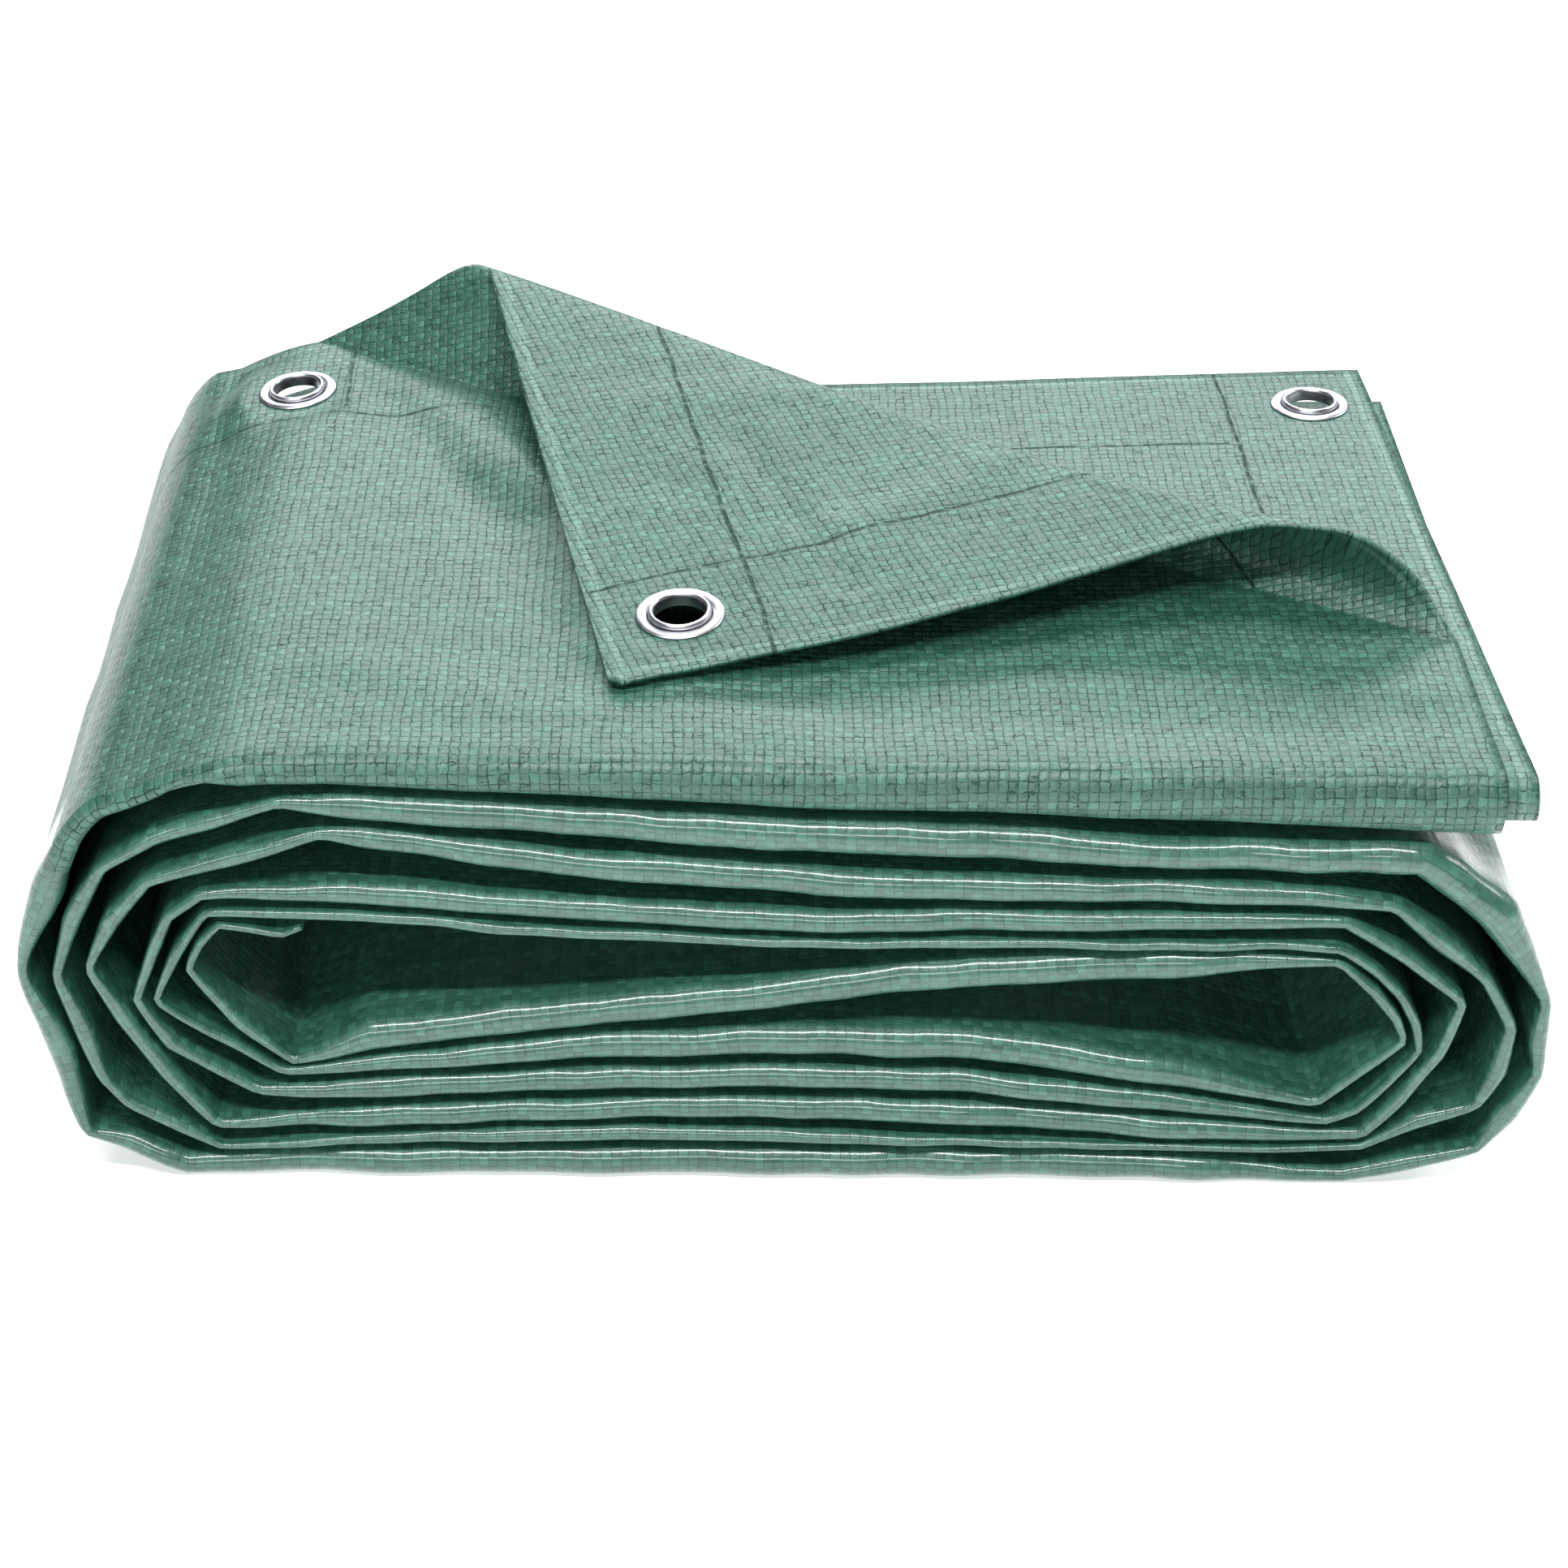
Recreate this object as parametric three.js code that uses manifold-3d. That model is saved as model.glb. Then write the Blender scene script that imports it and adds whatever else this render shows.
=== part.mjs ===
// A folded tarp of woven plastic sheet: a long pleated strip wound flat on itself,
// with two loose plies on top. The upper ply's back corner is turned over to the front.
// Millimetres. X runs along the bundle, Y runs from the front folds to the back, Z is up.
import * as THREE from 'three';
import { mergeVertices } from 'three/addons/utils/BufferGeometryUtils.js';
import Module from 'manifold-3d';

const wasm = await Module();
wasm.setup();

// Sizes of the bundle
const SHEET_THICK = 1.2;
const FRONT_Y = -116;
const FRONT_SKEW = -0.03;
const STRIP_DEPTH = 227;
const HEM_WIDTH = 40;
const HEM_STEP = 6;
const GAP = 0.3;
const FLOOR_TOUCH = 0.01;

// Heights where the long panels cross these places, from left to right
const PANEL_X = [-98, -51, -3, 44, 91];

// Panels of the wound strip, from the core outward: mid height and thickness at each place
const PANELS = {
  core: { mid: [41, 47.5, 54, 60.5, 63.2], thick: [8, 8.5, 8.5, 8.8, 8] },
  underCore: { mid: [33.5, 38, 40.6, 39.4, 32.3], thick: [4.4, 7.6, 8.4, 9, 8.4] },
  overCore: { mid: [76, 71.8, 69.5, 69.5, 69.5], thick: [2.6, 3, 2.4, 2.4, 2.4] },
  lowerThird: { mid: [26.2, 28.8, 30.5, 28.8, 23.7], thick: [6.2, 6.6, 6.8, 6.5, 5.8] },
  upperThird: { mid: [81.8, 78, 75, 75.2, 75.8], thick: [6.2, 6.2, 6.3, 6.2, 5] },
  lowerSecond: { mid: [17.6, 20, 21.2, 19.4, 16], thick: [6.2, 6.2, 7, 7.4, 6.8] },
  upperSecond: { mid: [97.4, 90.4, 86.2, 84, 83.7], thick: [5.5, 7.2, 8, 7.2, 6.4] },
  lowerFirst: { mid: [11.2, 13.2, 13, 11.7, 10.7], thick: [3, 4.4, 4, 2.4, 2] },
  upperFirst: { mid: [105.3, 101.8, 98.2, 96.4, 93.6], thick: [7.4, 8.4, 9.4, 9.8, 8.2] },
  bottom: { mid: [3.9, 4.2, 4.4, 4.3, 4.1], thick: [7.8, 8.4, 8.8, 8.6, 8.2] },
};

// Bends of the wound strip: each row is a crease or the middle of a facet, [x, z, thickness]
const BENDS = {
  innerEnd: [[-112, 73.3, 1.2], [-117, 71, 1.6], [-124, 72.4, 1.6], [-131.5, 73.2, 1.6],
    [-136.2, 68, 2], [-139.5, 61.5, 2], [-129, 45.5, 3.5], [-117, 34.5, 2.5]],
  coreRight: [[129.5, 64.8, 2.2], [138, 57, 2.8], [143.8, 49, 2.4], [146.3, 42.8, 1.8],
    [141.5, 38, 2.4], [134, 31, 2.8], [127, 24.5, 2.4]],
  coreLeft: [[-119.5, 31.5, 2], [-136, 42.5, 2.6], [-148, 52, 1.6], [-142, 65.5, 2.6],
    [-134.5, 76.2, 2]],
  thirdRight: [[129.5, 68.8, 2.2], [138, 62.4, 2.6], [144.6, 55.2, 2.6], [149, 46.5, 2.6],
    [150, 39.8, 1.6], [143.5, 31, 2.2], [136.5, 22.5, 2.2], [130, 19, 2.2], [110, 21.2, 4]],
  thirdLeft: [[-126, 25.5, 2.8], [-145.5, 39, 4], [-152.5, 52, 2], [-147.3, 66, 3],
    [-143, 75.5, 2.6], [-135, 81.5, 2.6]],
  secondRight: [[130, 75.8, 3.4], [145.5, 65.8, 4], [159, 53.8, 2.4], [155, 39, 3],
    [147, 25.8, 4], [138.5, 14.8, 3]],
  secondLeft: [[-136.5, 16, 2.6], [-147.5, 31, 4.4], [-157, 47, 4.4], [-163, 61, 2],
    [-156.5, 73.8, 4.4], [-147, 85.3, 3.2], [-125, 92.3, 5], [-106, 98.3, 3]],
  firstRight: [[122, 82.8, 5.2], [141, 80.3, 3], [152, 70.8, 5.2], [164, 60, 2.8],
    [171, 47, 3], [169.5, 34, 5], [165, 23.8, 2.6], [152, 18.5, 4.4], [139, 11.4, 1.8]],
  firstLeft: [[-136, 9.2, 1.6], [-147, 15.5, 4], [-157.5, 21.5, 3], [-163, 29, 3],
    [-166.5, 43, 4.4], [-170.8, 58.5, 2.4], [-165.5, 74.5, 4.4], [-157, 89.3, 3],
    [-144.5, 96.8, 4], [-131, 101.4, 4.6], [-115, 106.8, 3]],
  outerRight: [[118, 92.8, 8.8], [146, 92.5, 9], [165, 77.5, 10], [178.5, 54, 2.6],
    [178, 43, 4.6], [178.8, 33.5, 2.6], [173, 20.5, 6], [166.5, 10.8, 2.6],
    [150, 6.2, 4.6], [135, 2, 4]],
  outerLeft: [[-126, 3.5, 7], [-145, 3, 6], [-158, 9.3, 5.6], [-168.3, 12.8, 2.6],
    [-172.3, 36, 7], [-178.7, 60, 2.4], [-171.3, 80, 7.4], [-162.5, 98, 4.4],
    [-153.5, 105.8, 4.4]],
};

// The strip's outer end, tucked below the loose plies and short of the back eyelet
const OUTER_END = [[-148, 107.4, 2.8], [-138, 111.6, 2.4], [-128, 113.9, 2.2], [-112, 114.8, 2.2]];
const OUTER_END_BACK = 60;

// Which panel follows each bend, and which way it is walked
const WINDING = [
  ['innerEnd', 'core', 1], ['coreRight', 'underCore', -1],
  ['coreLeft', 'overCore', 1], ['thirdRight', 'lowerThird', -1],
  ['thirdLeft', 'upperThird', 1], ['secondRight', 'lowerSecond', -1],
  ['secondLeft', 'upperSecond', 1], ['firstRight', 'lowerFirst', -1],
  ['firstLeft', 'upperFirst', 1], ['outerRight', 'bottom', -1],
  ['outerLeft', null, 1],
];

// Cross profile of the strip, from its nose to its back: how far a station is behind the nose,
// as a share of the half thickness plus a distance, and its share of the half thickness in height
const NOSE = [
  { share: 0, behind: 0, half: 0 },
  { share: 0.15, behind: 0, half: 0.5 },
  { share: 0.5, behind: 0, half: 0.87 },
  { share: 1.1, behind: 0, half: 1 },
  { share: 1.1, behind: 16, half: 0.9 },
  { share: 0, behind: STRIP_DEPTH - HEM_WIDTH - HEM_STEP, half: 0.84 },
  { share: 0, behind: STRIP_DEPTH - HEM_WIDTH, half: 0.97 },
  { share: 0, behind: STRIP_DEPTH, half: 0.97 },
];

// Loose plies: mid height of the upper ply at its front edge and at the turned corner's foot
const UPPER_HEIGHTS = [
  { x: -150, front: 109.9, foot: 108.8 },
  { x: -140, front: 113.8, foot: 113.1 },
  { x: -128, front: 117.1, foot: 116.5 },
  { x: -105, front: 118.9, foot: 116.4 },
  { x: -85, front: 119.1, foot: 116.3 },
  { x: -40, front: 117.7, foot: 116 },
  { x: 0, front: 117, foot: 115.9 },
  { x: 44, front: 116.5, foot: 115.6 },
  { x: 115, front: 115.7, foot: 115.3 },
  { x: 172, front: 115, foot: 115 },
];

// Mid height of the part of each ply that turns under at the front
const UNDER_HEIGHTS = [
  { x: -100, upper: 111.7, lower: 113.3, lowerTopBack: 114.6, lowerUnderBack: 113.3 },
  { x: -51, upper: 108.2, lower: 110, lowerTopBack: 112.2, lowerUnderBack: 109.8 },
  { x: -3, upper: 105.8, lower: 107.5, lowerTopBack: 110.1, lowerUnderBack: 107 },
  { x: 44, upper: 104.6, lower: 106.3, lowerTopBack: 110, lowerUnderBack: 105.4 },
  { x: 91, upper: 102.4, lower: 104.1, lowerTopBack: 110.6, lowerUnderBack: 102.8 },
  { x: 172, upper: 99.2, lower: 102.4, lowerTopBack: 111.4, lowerUnderBack: 101.2 },
];

const UPPER_LEFT = -150;
const UPPER_RIGHT = 163;
const UPPER_BACK = 118.5;
const FOLD_LEFT = -100;
const NOSE_REACH = 5.5;
const NOSE_FADE = { from: -128, to: -105, reach: 2 };
const TURN_STEPS = 6;
const UPPER_RETURN_BACK = -72;

// The turned corner: each row is one line across it, from the tarp's back edge to its end edge
const TURNED_CORNER = [
  { back: [-128, 118.5, 116.5], end: [163, -57, 115], sag: 0 },
  { back: [-111, 118.5, 125.1], end: [159, -50, 120.5], sag: 3 },
  { back: [-99, 118.5, 131.9], end: [154, -46.5, 127], sag: 5 },
  { back: [-90, 118.5, 137.4], end: [148, -45, 132.3], sag: 6 },
  { back: [-84, 118.5, 139.8], end: [140.5, -44, 136.8], sag: 6.5 },
  { back: [-79.3, 117, 139.6], end: [131, -42, 138.6], sag: 6 },
  { back: [-77, 108, 139.2], end: [114, -38.5, 137.2], sag: 4.5 },
  { back: [-71, 77, 136], end: [90, -43, 133], sag: 2 },
  { back: [-63, 35, 131.8], end: [60, -53, 128.5], sag: 0 },
  { back: [-54, -12, 126.8], end: [22, -66, 124.4], sag: 0 },
  { back: [-45.5, -55, 122.9], end: [-12, -75.5, 122], sag: 0 },
  { back: [-40.5, -81.5, 120.8], end: [-37.4, -83.5, 120.7], sag: 0 },
];
const SAG_SKEW = 1.6;
const CORNER_COLUMNS = 30;
const SEAM_COLUMNS = 11;
const FOOT_STEPS = [0, 0.05, 0.12, 0.25, 0.5, 0.75];

// The lower ply, seen at the back right
const LOWER_LEFT = -60;
const LOWER_EDGE = { topFront: 170.5, topBack: 165.5, underFront: 171, underBack: 173 };
const LOWER_BACK = { at: 101.4, slope: 0.031 };
const LOWER_DROP = 1.8;
const LOWER_NOSE = { inset: 1.8, reach: 4 };
const LOWER_COLUMNS = [0, 0.2, 0.4, 0.6, 0.8, 0.92, 1];
const LOWER_SHARES = { top: [1, 0.82, 0.5, 0.2, 0], under: [0.3, 0.65, 1] };

// Eyelets: a grommet through the hem and a washer round its rolled lip
const EYELET = { outer: 10.75, lip: 7.6, hole: 6.3, barrel: 6.9, cut: 7.4, flange: 10, press: 11.2 };
const METAL = 0.8;
const LIP_RISE = 1.7;
const LIP_ROUND = { bulge: 0.1, bulgeAt: 0.6, fold: 0.3, mouth: 0.4, mouthDrop: 0.5 };
const WASHER_ROUND = { outer: 0.5, outerAt: 0.6, inner: 0.9, innerAt: 0.7 };
const METAL_SEAT = SHEET_THICK / 2 + GAP;
const ROUND_SIDES = 28;
const DRILL_LENGTH = 7;
const PRESS_DEPTH = 4;
const FRAME_STEP = 4;
const EYELET_B = { x: -130.5, y: 88 };
const FLAT_SEAT = { z: 115.7, slopeX: 0.08, slopeY: 0.05, inner: 12, outer: 27 };
const EYELET_C = { x: 148.5, y: 83.5 };
const EYELET_A = { row: 9.6, across: 0.5 };

// Hem corners, from the eyelet's centre: low and high corner of the piece, in the eyelet's frame
const HEM_BOX = {
  turned: { low: [-24.5, -24.5, -1.1], high: [18, 18, 3] },
  back: { low: [-30, -16, -12], high: [18.5, 60, 14] },
  under: { low: [-23, -17, -4], high: [40, 40, 6] },
};

const tarpColor = 0x4f8a76;
const metalColor = 0xc9ccd1;

function clothMaterial() {
  return new THREE.MeshStandardMaterial({ color: tarpColor, roughness: 0.45, metalness: 0 });
}

function metalMaterial() {
  return new THREE.MeshStandardMaterial({ color: metalColor, roughness: 0.25, metalness: 1 });
}

function frontAt(x) {
  return FRONT_Y + FRONT_SKEW * x;
}

// Value of one column of a table at x, with straight lines between its rows
function lookUp(table, column, x) {
  const last = table.length - 1;
  let i = 0;
  while (i < last - 1 && x > table[i + 1].x) i += 1;
  const a = table[i];
  const b = table[i + 1];
  const t = THREE.MathUtils.clamp((x - a.x) / (b.x - a.x), 0, 1);
  return THREE.MathUtils.lerp(a[column], b[column], t);
}

// Geometry from points and triangles
function toGeometry(points, faces) {
  const geometry = new THREE.BufferGeometry();
  const flat = points.flatMap((p) => [p.x, p.y, p.z]);
  geometry.setAttribute('position', new THREE.Float32BufferAttribute(flat, 3));
  geometry.setIndex(faces.flat());
  geometry.computeVertexNormals();
  return geometry;
}

// The wound strip

function stripRows() {
  const rows = [];
  for (const [bend, panel, way] of WINDING) {
    for (const [x, z, thick] of BENDS[bend]) rows.push({ x, z, thick, back: 0 });
    if (panel) {
      const stations = PANEL_X.map((x, i) => (
        { x, z: PANELS[panel].mid[i], thick: PANELS[panel].thick[i], back: 0 }));
      rows.push(...(way > 0 ? stations : stations.reverse()));
    }
  }
  const endCut = UPPER_BACK - OUTER_END_BACK;
  for (const [x, z, thick] of OUTER_END) rows.push({ x, z, thick, back: endCut });
  return rows;
}

function rowNormal(rows, i) {
  const a = rows[Math.max(i - 1, 0)];
  const b = rows[Math.min(i + 1, rows.length - 1)];
  const c = rows[i];
  const before = new THREE.Vector2(c.x - a.x, c.z - a.z).normalize();
  const after = new THREE.Vector2(b.x - c.x, b.z - c.z).normalize();
  const along = before.add(after).normalize();
  return new THREE.Vector2(-along.y, along.x);
}

// One ring of the strip: along its outer side from nose to back, then along its inner side
// to the nose. A row that is as high as its half thickness lies flat on the floor.
function stripRing(row, normal) {
  const half = row.thick / 2;
  const reach = (STRIP_DEPTH - row.back) / STRIP_DEPTH;
  const lies = Math.abs(row.z - half) < FLOOR_TOUCH;
  const place = (station, side) => {
    const rise = side * station.half * half;
    const y = frontAt(row.x) + station.share * half + station.behind * reach;
    if (lies && side > 0 && station.share * half + station.behind >= half) {
      return new THREE.Vector3(row.x, y, 0);
    }
    return new THREE.Vector3(row.x + normal.x * rise, y, row.z + normal.y * rise);
  };
  const outer = NOSE.map((station) => place(station, 1));
  const inner = NOSE.slice(1).reverse().map((station) => place(station, -1));
  return outer.concat(inner);
}

function woundStrip() {
  const rows = stripRows();
  const rings = rows.map((row, i) => stripRing(row, rowNormal(rows, i)));
  const size = rings[0].length;
  const faces = [];
  for (let i = 0; i < rings.length - 1; i += 1) {
    for (let j = 0; j < size; j += 1) {
      const next = (j + 1) % size;
      const [a, b] = [i * size + j, i * size + next];
      const [c, d] = [(i + 1) * size + next, (i + 1) * size + j];
      faces.push([a, c, b], [a, d, c]);
    }
  }
  const lastRing = (rings.length - 1) * size;
  for (let k = 1; k < NOSE.length; k += 1) {
    const [a, b, c, d] = [k - 1, k, size - k, (size - k + 1) % size];
    const cap = a === d ? [[a, b, c]] : [[a, b, c], [a, c, d]];
    for (const [p, q, r] of cap) faces.push([p, q, r], [lastRing + r, lastRing + q, lastRing + p]);
  }
  return toGeometry(rings.flat(), faces);
}

// Loose plies: rows of points joined into one surface, then given the cloth's thickness

function joinRows(surface, rows) {
  const indexOf = (point) => {
    if (!surface.index.has(point)) {
      surface.index.set(point, surface.points.length);
      surface.points.push(point);
    }
    return surface.index.get(point);
  };
  for (let i = 0; i < rows.length - 1; i += 1) {
    for (let j = 0; j < rows[i].length - 1; j += 1) {
      const [a, b] = [indexOf(rows[i][j]), indexOf(rows[i][j + 1])];
      const [c, d] = [indexOf(rows[i + 1][j + 1]), indexOf(rows[i + 1][j])];
      surface.faces.push([a, b, c], [a, c, d]);
    }
  }
}

function newSurface() {
  return { points: [], faces: [], index: new Map() };
}

function thicken(surface, thickness) {
  const { points, faces } = surface;
  const skin = toGeometry(points, faces);
  const normals = skin.getAttribute('normal');
  const count = points.length;
  const shifted = (side) => points.map((p, i) => (
    new THREE.Vector3().fromBufferAttribute(normals, i).multiplyScalar(side * thickness / 2).add(p)));
  const walls = [];
  const edges = new Set(faces.flatMap(([a, b, c]) => [`${a},${b}`, `${b},${c}`, `${c},${a}`]));
  for (const edge of edges) {
    const [a, b] = edge.split(',').map(Number);
    if (edges.has(`${b},${a}`)) continue;
    walls.push([b, a, count + a], [b, count + a, count + b]);
  }
  const inner = faces.map(([a, b, c]) => [count + c, count + b, count + a]);
  return toGeometry(shifted(1).concat(shifted(-1)), [...faces, ...inner, ...walls]);
}

// The upper ply

function noseReach(x) {
  const { from, to, reach } = NOSE_FADE;
  const share = THREE.MathUtils.clamp((x - from) / (to - from), 0, 1);
  return THREE.MathUtils.lerp(reach, NOSE_REACH, share);
}

function upperFrontY(x) {
  return frontAt(x) + noseReach(x);
}

// Where the turned corner leaves the pile of folds
function footAt(t) {
  const [{ back, end }] = TURNED_CORNER;
  return new THREE.Vector3(...back).lerp(new THREE.Vector3(...end), t);
}

function footY(x) {
  const [{ back, end }] = TURNED_CORNER;
  return THREE.MathUtils.mapLinear(Math.max(x, back[0]), back[0], end[0], back[1], end[1]);
}

// The cloth lies flat round the back eyelet
function upperZ(x, y) {
  const share = (y - upperFrontY(x)) / (footY(x) - upperFrontY(x));
  const level = THREE.MathUtils.clamp(share, 0, 1);
  const front = lookUp(UPPER_HEIGHTS, 'front', x);
  const open = THREE.MathUtils.lerp(front, lookUp(UPPER_HEIGHTS, 'foot', x), level);
  const [dx, dy] = [x - EYELET_B.x, y - EYELET_B.y];
  const seat = FLAT_SEAT.z + FLAT_SEAT.slopeX * dx + FLAT_SEAT.slopeY * dy;
  const away = THREE.MathUtils.smoothstep(Math.hypot(dx, dy), FLAT_SEAT.inner, FLAT_SEAT.outer);
  return THREE.MathUtils.lerp(seat, open, away);
}

// The ply's left seam and front edge, met by the lines that run out from the corner's foot
function outlinePoint(j) {
  if (j <= SEAM_COLUMNS) {
    const t = j / SEAM_COLUMNS;
    const y = THREE.MathUtils.lerp(UPPER_BACK, upperFrontY(UPPER_LEFT), t);
    return new THREE.Vector2(UPPER_LEFT, y);
  }
  const t = (j - SEAM_COLUMNS) / (CORNER_COLUMNS - SEAM_COLUMNS);
  const x = THREE.MathUtils.lerp(UPPER_LEFT, UPPER_RIGHT, t);
  return new THREE.Vector2(x, upperFrontY(x));
}

function lyingRows() {
  return FOOT_STEPS.map((step) => {
    const row = [];
    for (let j = 0; j <= CORNER_COLUMNS; j += 1) {
      const foot = footAt(j / CORNER_COLUMNS);
      const point = outlinePoint(j).lerp(new THREE.Vector2(foot.x, foot.y), step);
      row.push(new THREE.Vector3(point.x, point.y, upperZ(point.x, point.y)));
    }
    return row;
  });
}

const backCurve = new THREE.CatmullRomCurve3(TURNED_CORNER.map((r) => new THREE.Vector3(...r.back)));
const endCurve = new THREE.CatmullRomCurve3(TURNED_CORNER.map((r) => new THREE.Vector3(...r.end)));
const sagRows = TURNED_CORNER.map((row, i) => ({ x: i, sag: row.sag }));

// Point of the turned corner: row counts along the table, across runs from 0 to 1
function cornerPoint(row, across) {
  const t = row / (TURNED_CORNER.length - 1);
  const point = backCurve.getPoint(t).lerp(endCurve.getPoint(t), across);
  point.z -= lookUp(sagRows, 'sag', row) * Math.sin(Math.PI * across ** SAG_SKEW);
  return point;
}

function cornerRows() {
  const rows = [];
  for (let i = 0; i <= 2 * (TURNED_CORNER.length - 1); i += 1) {
    const row = [];
    for (let j = 0; j <= CORNER_COLUMNS; j += 1) row.push(cornerPoint(i / 2, j / CORNER_COLUMNS));
    rows.push(row);
  }
  return rows;
}

// Points of a ply turned under at the front: half an ellipse, then a run back below
function turnUnder(x, frontY, reach, top, under, backY) {
  const middle = (top + under) / 2;
  const column = [];
  for (let step = 1; step <= TURN_STEPS; step += 1) {
    const angle = (step * Math.PI) / TURN_STEPS;
    const y = frontY - reach * Math.sin(angle);
    column.push(new THREE.Vector3(x, y, middle + (top - middle) * Math.cos(angle)));
  }
  column.push(new THREE.Vector3(x, backY, under));
  return column;
}

function transpose(columns) {
  return columns[0].map((_, i) => columns.map((column) => column[i]));
}

function upperPly() {
  const surface = newSurface();
  const lying = lyingRows();
  const corner = cornerRows();
  joinRows(surface, [...lying, ...corner].map((row) => row.slice().reverse()));
  const edge = lying[0].slice(SEAM_COLUMNS).filter((p) => p.x >= FOLD_LEFT);
  const columns = edge.map((p) => {
    const under = lookUp(UNDER_HEIGHTS, 'upper', p.x);
    return turnUnder(p.x, p.y, NOSE_REACH, p.z, under, UPPER_RETURN_BACK);
  });
  joinRows(surface, [edge, ...transpose(columns)]);
  return thicken(surface, SHEET_THICK);
}

// The lower ply

function lowerTopZ(x, share) {
  const front = lookUp(UPPER_HEIGHTS, 'front', x) - LOWER_DROP;
  return THREE.MathUtils.lerp(front, lookUp(UNDER_HEIGHTS, 'lowerTopBack', x), share);
}

function lowerUnderZ(x, share) {
  const front = lookUp(UNDER_HEIGHTS, 'lower', x);
  return THREE.MathUtils.lerp(front, lookUp(UNDER_HEIGHTS, 'lowerUnderBack', x), share);
}

function lowerFrontY(x) {
  return frontAt(x) + LOWER_NOSE.inset + LOWER_NOSE.reach;
}

function lowerBackY(x) {
  return LOWER_BACK.at + LOWER_BACK.slope * x;
}

function lowerRow(share, frontRight, backRight, heightAt) {
  const right = THREE.MathUtils.lerp(frontRight, backRight, share);
  return LOWER_COLUMNS.map((column) => {
    const x = THREE.MathUtils.lerp(LOWER_LEFT, right, column);
    const y = THREE.MathUtils.lerp(lowerFrontY(x), lowerBackY(x), share);
    return new THREE.Vector3(x, y, heightAt(x, share));
  });
}

function lowerPly() {
  const edge = LOWER_EDGE;
  const topRows = LOWER_SHARES.top.map((share) => (
    lowerRow(share, edge.topFront, edge.topBack, lowerTopZ)));
  const front = topRows[topRows.length - 1];
  const nose = transpose(front.map((p) => (
    turnUnder(p.x, p.y, LOWER_NOSE.reach, p.z, lowerUnderZ(p.x, 0), 0)))).slice(0, -1);
  const underRows = LOWER_SHARES.under.map((share) => (
    lowerRow(share, edge.underFront, edge.underBack, lowerUnderZ)));
  const surface = newSurface();
  joinRows(surface, [...topRows, ...nose, ...underRows].map((row) => row.slice().reverse()));
  return thicken(surface, SHEET_THICK);
}

// Cuts between solids

function toSolid(geometry) {
  const bare = geometry.clone();
  bare.deleteAttribute('normal');
  bare.deleteAttribute('uv');
  const merged = mergeVertices(bare);
  const mesh = new wasm.Mesh({
    numProp: 3,
    vertProperties: new Float32Array(merged.getAttribute('position').array),
    triVerts: new Uint32Array(merged.getIndex().array),
  });
  return new wasm.Manifold(mesh);
}

function fromSolid(solid) {
  const mesh = solid.getMesh();
  const geometry = new THREE.BufferGeometry();
  geometry.setAttribute('position', new THREE.Float32BufferAttribute(mesh.vertProperties, 3));
  geometry.setIndex(Array.from(mesh.triVerts));
  geometry.computeVertexNormals();
  return geometry;
}

// A hem corner is cut free of its ply with a narrow seam, gets the eyelet's hole,
// and is pressed flat where the metal holds it
function cutHem(ply, frame, low, high) {
  const boxAt = (grow) => {
    const from = new THREE.Vector3(...low).subScalar(grow);
    const to = new THREE.Vector3(...high).addScalar(grow);
    const size = to.clone().sub(from);
    const middle = from.add(to).multiplyScalar(0.5);
    const box = new THREE.BoxGeometry(size.x, size.y, size.z).translate(middle.x, middle.y, middle.z);
    return toSolid(box.applyMatrix4(frame));
  };
  const discAt = (radius, length, height) => {
    const disc = new THREE.CylinderGeometry(radius, radius, length, ROUND_SIDES);
    return toSolid(disc.rotateX(Math.PI / 2).translate(0, 0, height).applyMatrix4(frame));
  };
  const pressed = (SHEET_THICK + PRESS_DEPTH) / 2;
  const hem = ply.intersect(boxAt(0))
    .subtract(discAt(EYELET.cut, DRILL_LENGTH, 0))
    .subtract(discAt(EYELET.press, PRESS_DEPTH, pressed))
    .subtract(discAt(EYELET.press, PRESS_DEPTH, -pressed));
  return { hem, left: ply.subtract(boxAt(GAP)) };
}

// Eyelets

function spin(profile) {
  const points = profile.map(([r, z]) => new THREE.Vector2(r, z));
  points.push(points[0].clone());
  const geometry = new THREE.LatheGeometry(points, ROUND_SIDES).rotateX(Math.PI / 2);
  geometry.deleteAttribute('normal');
  geometry.deleteAttribute('uv');
  return mergeVertices(geometry, 1e-4);
}

// A flange below the cloth, a barrel through it and a lip rolled over above it
function grommet() {
  const { hole, barrel, lip, flange } = EYELET;
  const top = METAL_SEAT + LIP_RISE;
  return spin([
    [hole, -METAL_SEAT - METAL],
    [flange, -METAL_SEAT - METAL],
    [flange, -METAL_SEAT],
    [barrel, -METAL_SEAT],
    [barrel, METAL_SEAT],
    [lip, METAL_SEAT],
    [lip + LIP_ROUND.bulge, METAL_SEAT + LIP_RISE * LIP_ROUND.bulgeAt],
    [lip - LIP_ROUND.fold, top],
    [hole + LIP_ROUND.mouth, top],
    [hole, top - LIP_ROUND.mouthDrop],
  ]);
}

function washer() {
  const inner = EYELET.lip + LIP_ROUND.bulge + GAP;
  const { outer } = EYELET;
  return spin([
    [inner, METAL_SEAT],
    [outer, METAL_SEAT],
    [outer, METAL_SEAT + METAL * WASHER_ROUND.outerAt],
    [outer - WASHER_ROUND.outer, METAL_SEAT + METAL],
    [inner + WASHER_ROUND.inner, METAL_SEAT + METAL],
    [inner, METAL_SEAT + METAL * WASHER_ROUND.innerAt],
  ]);
}

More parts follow.
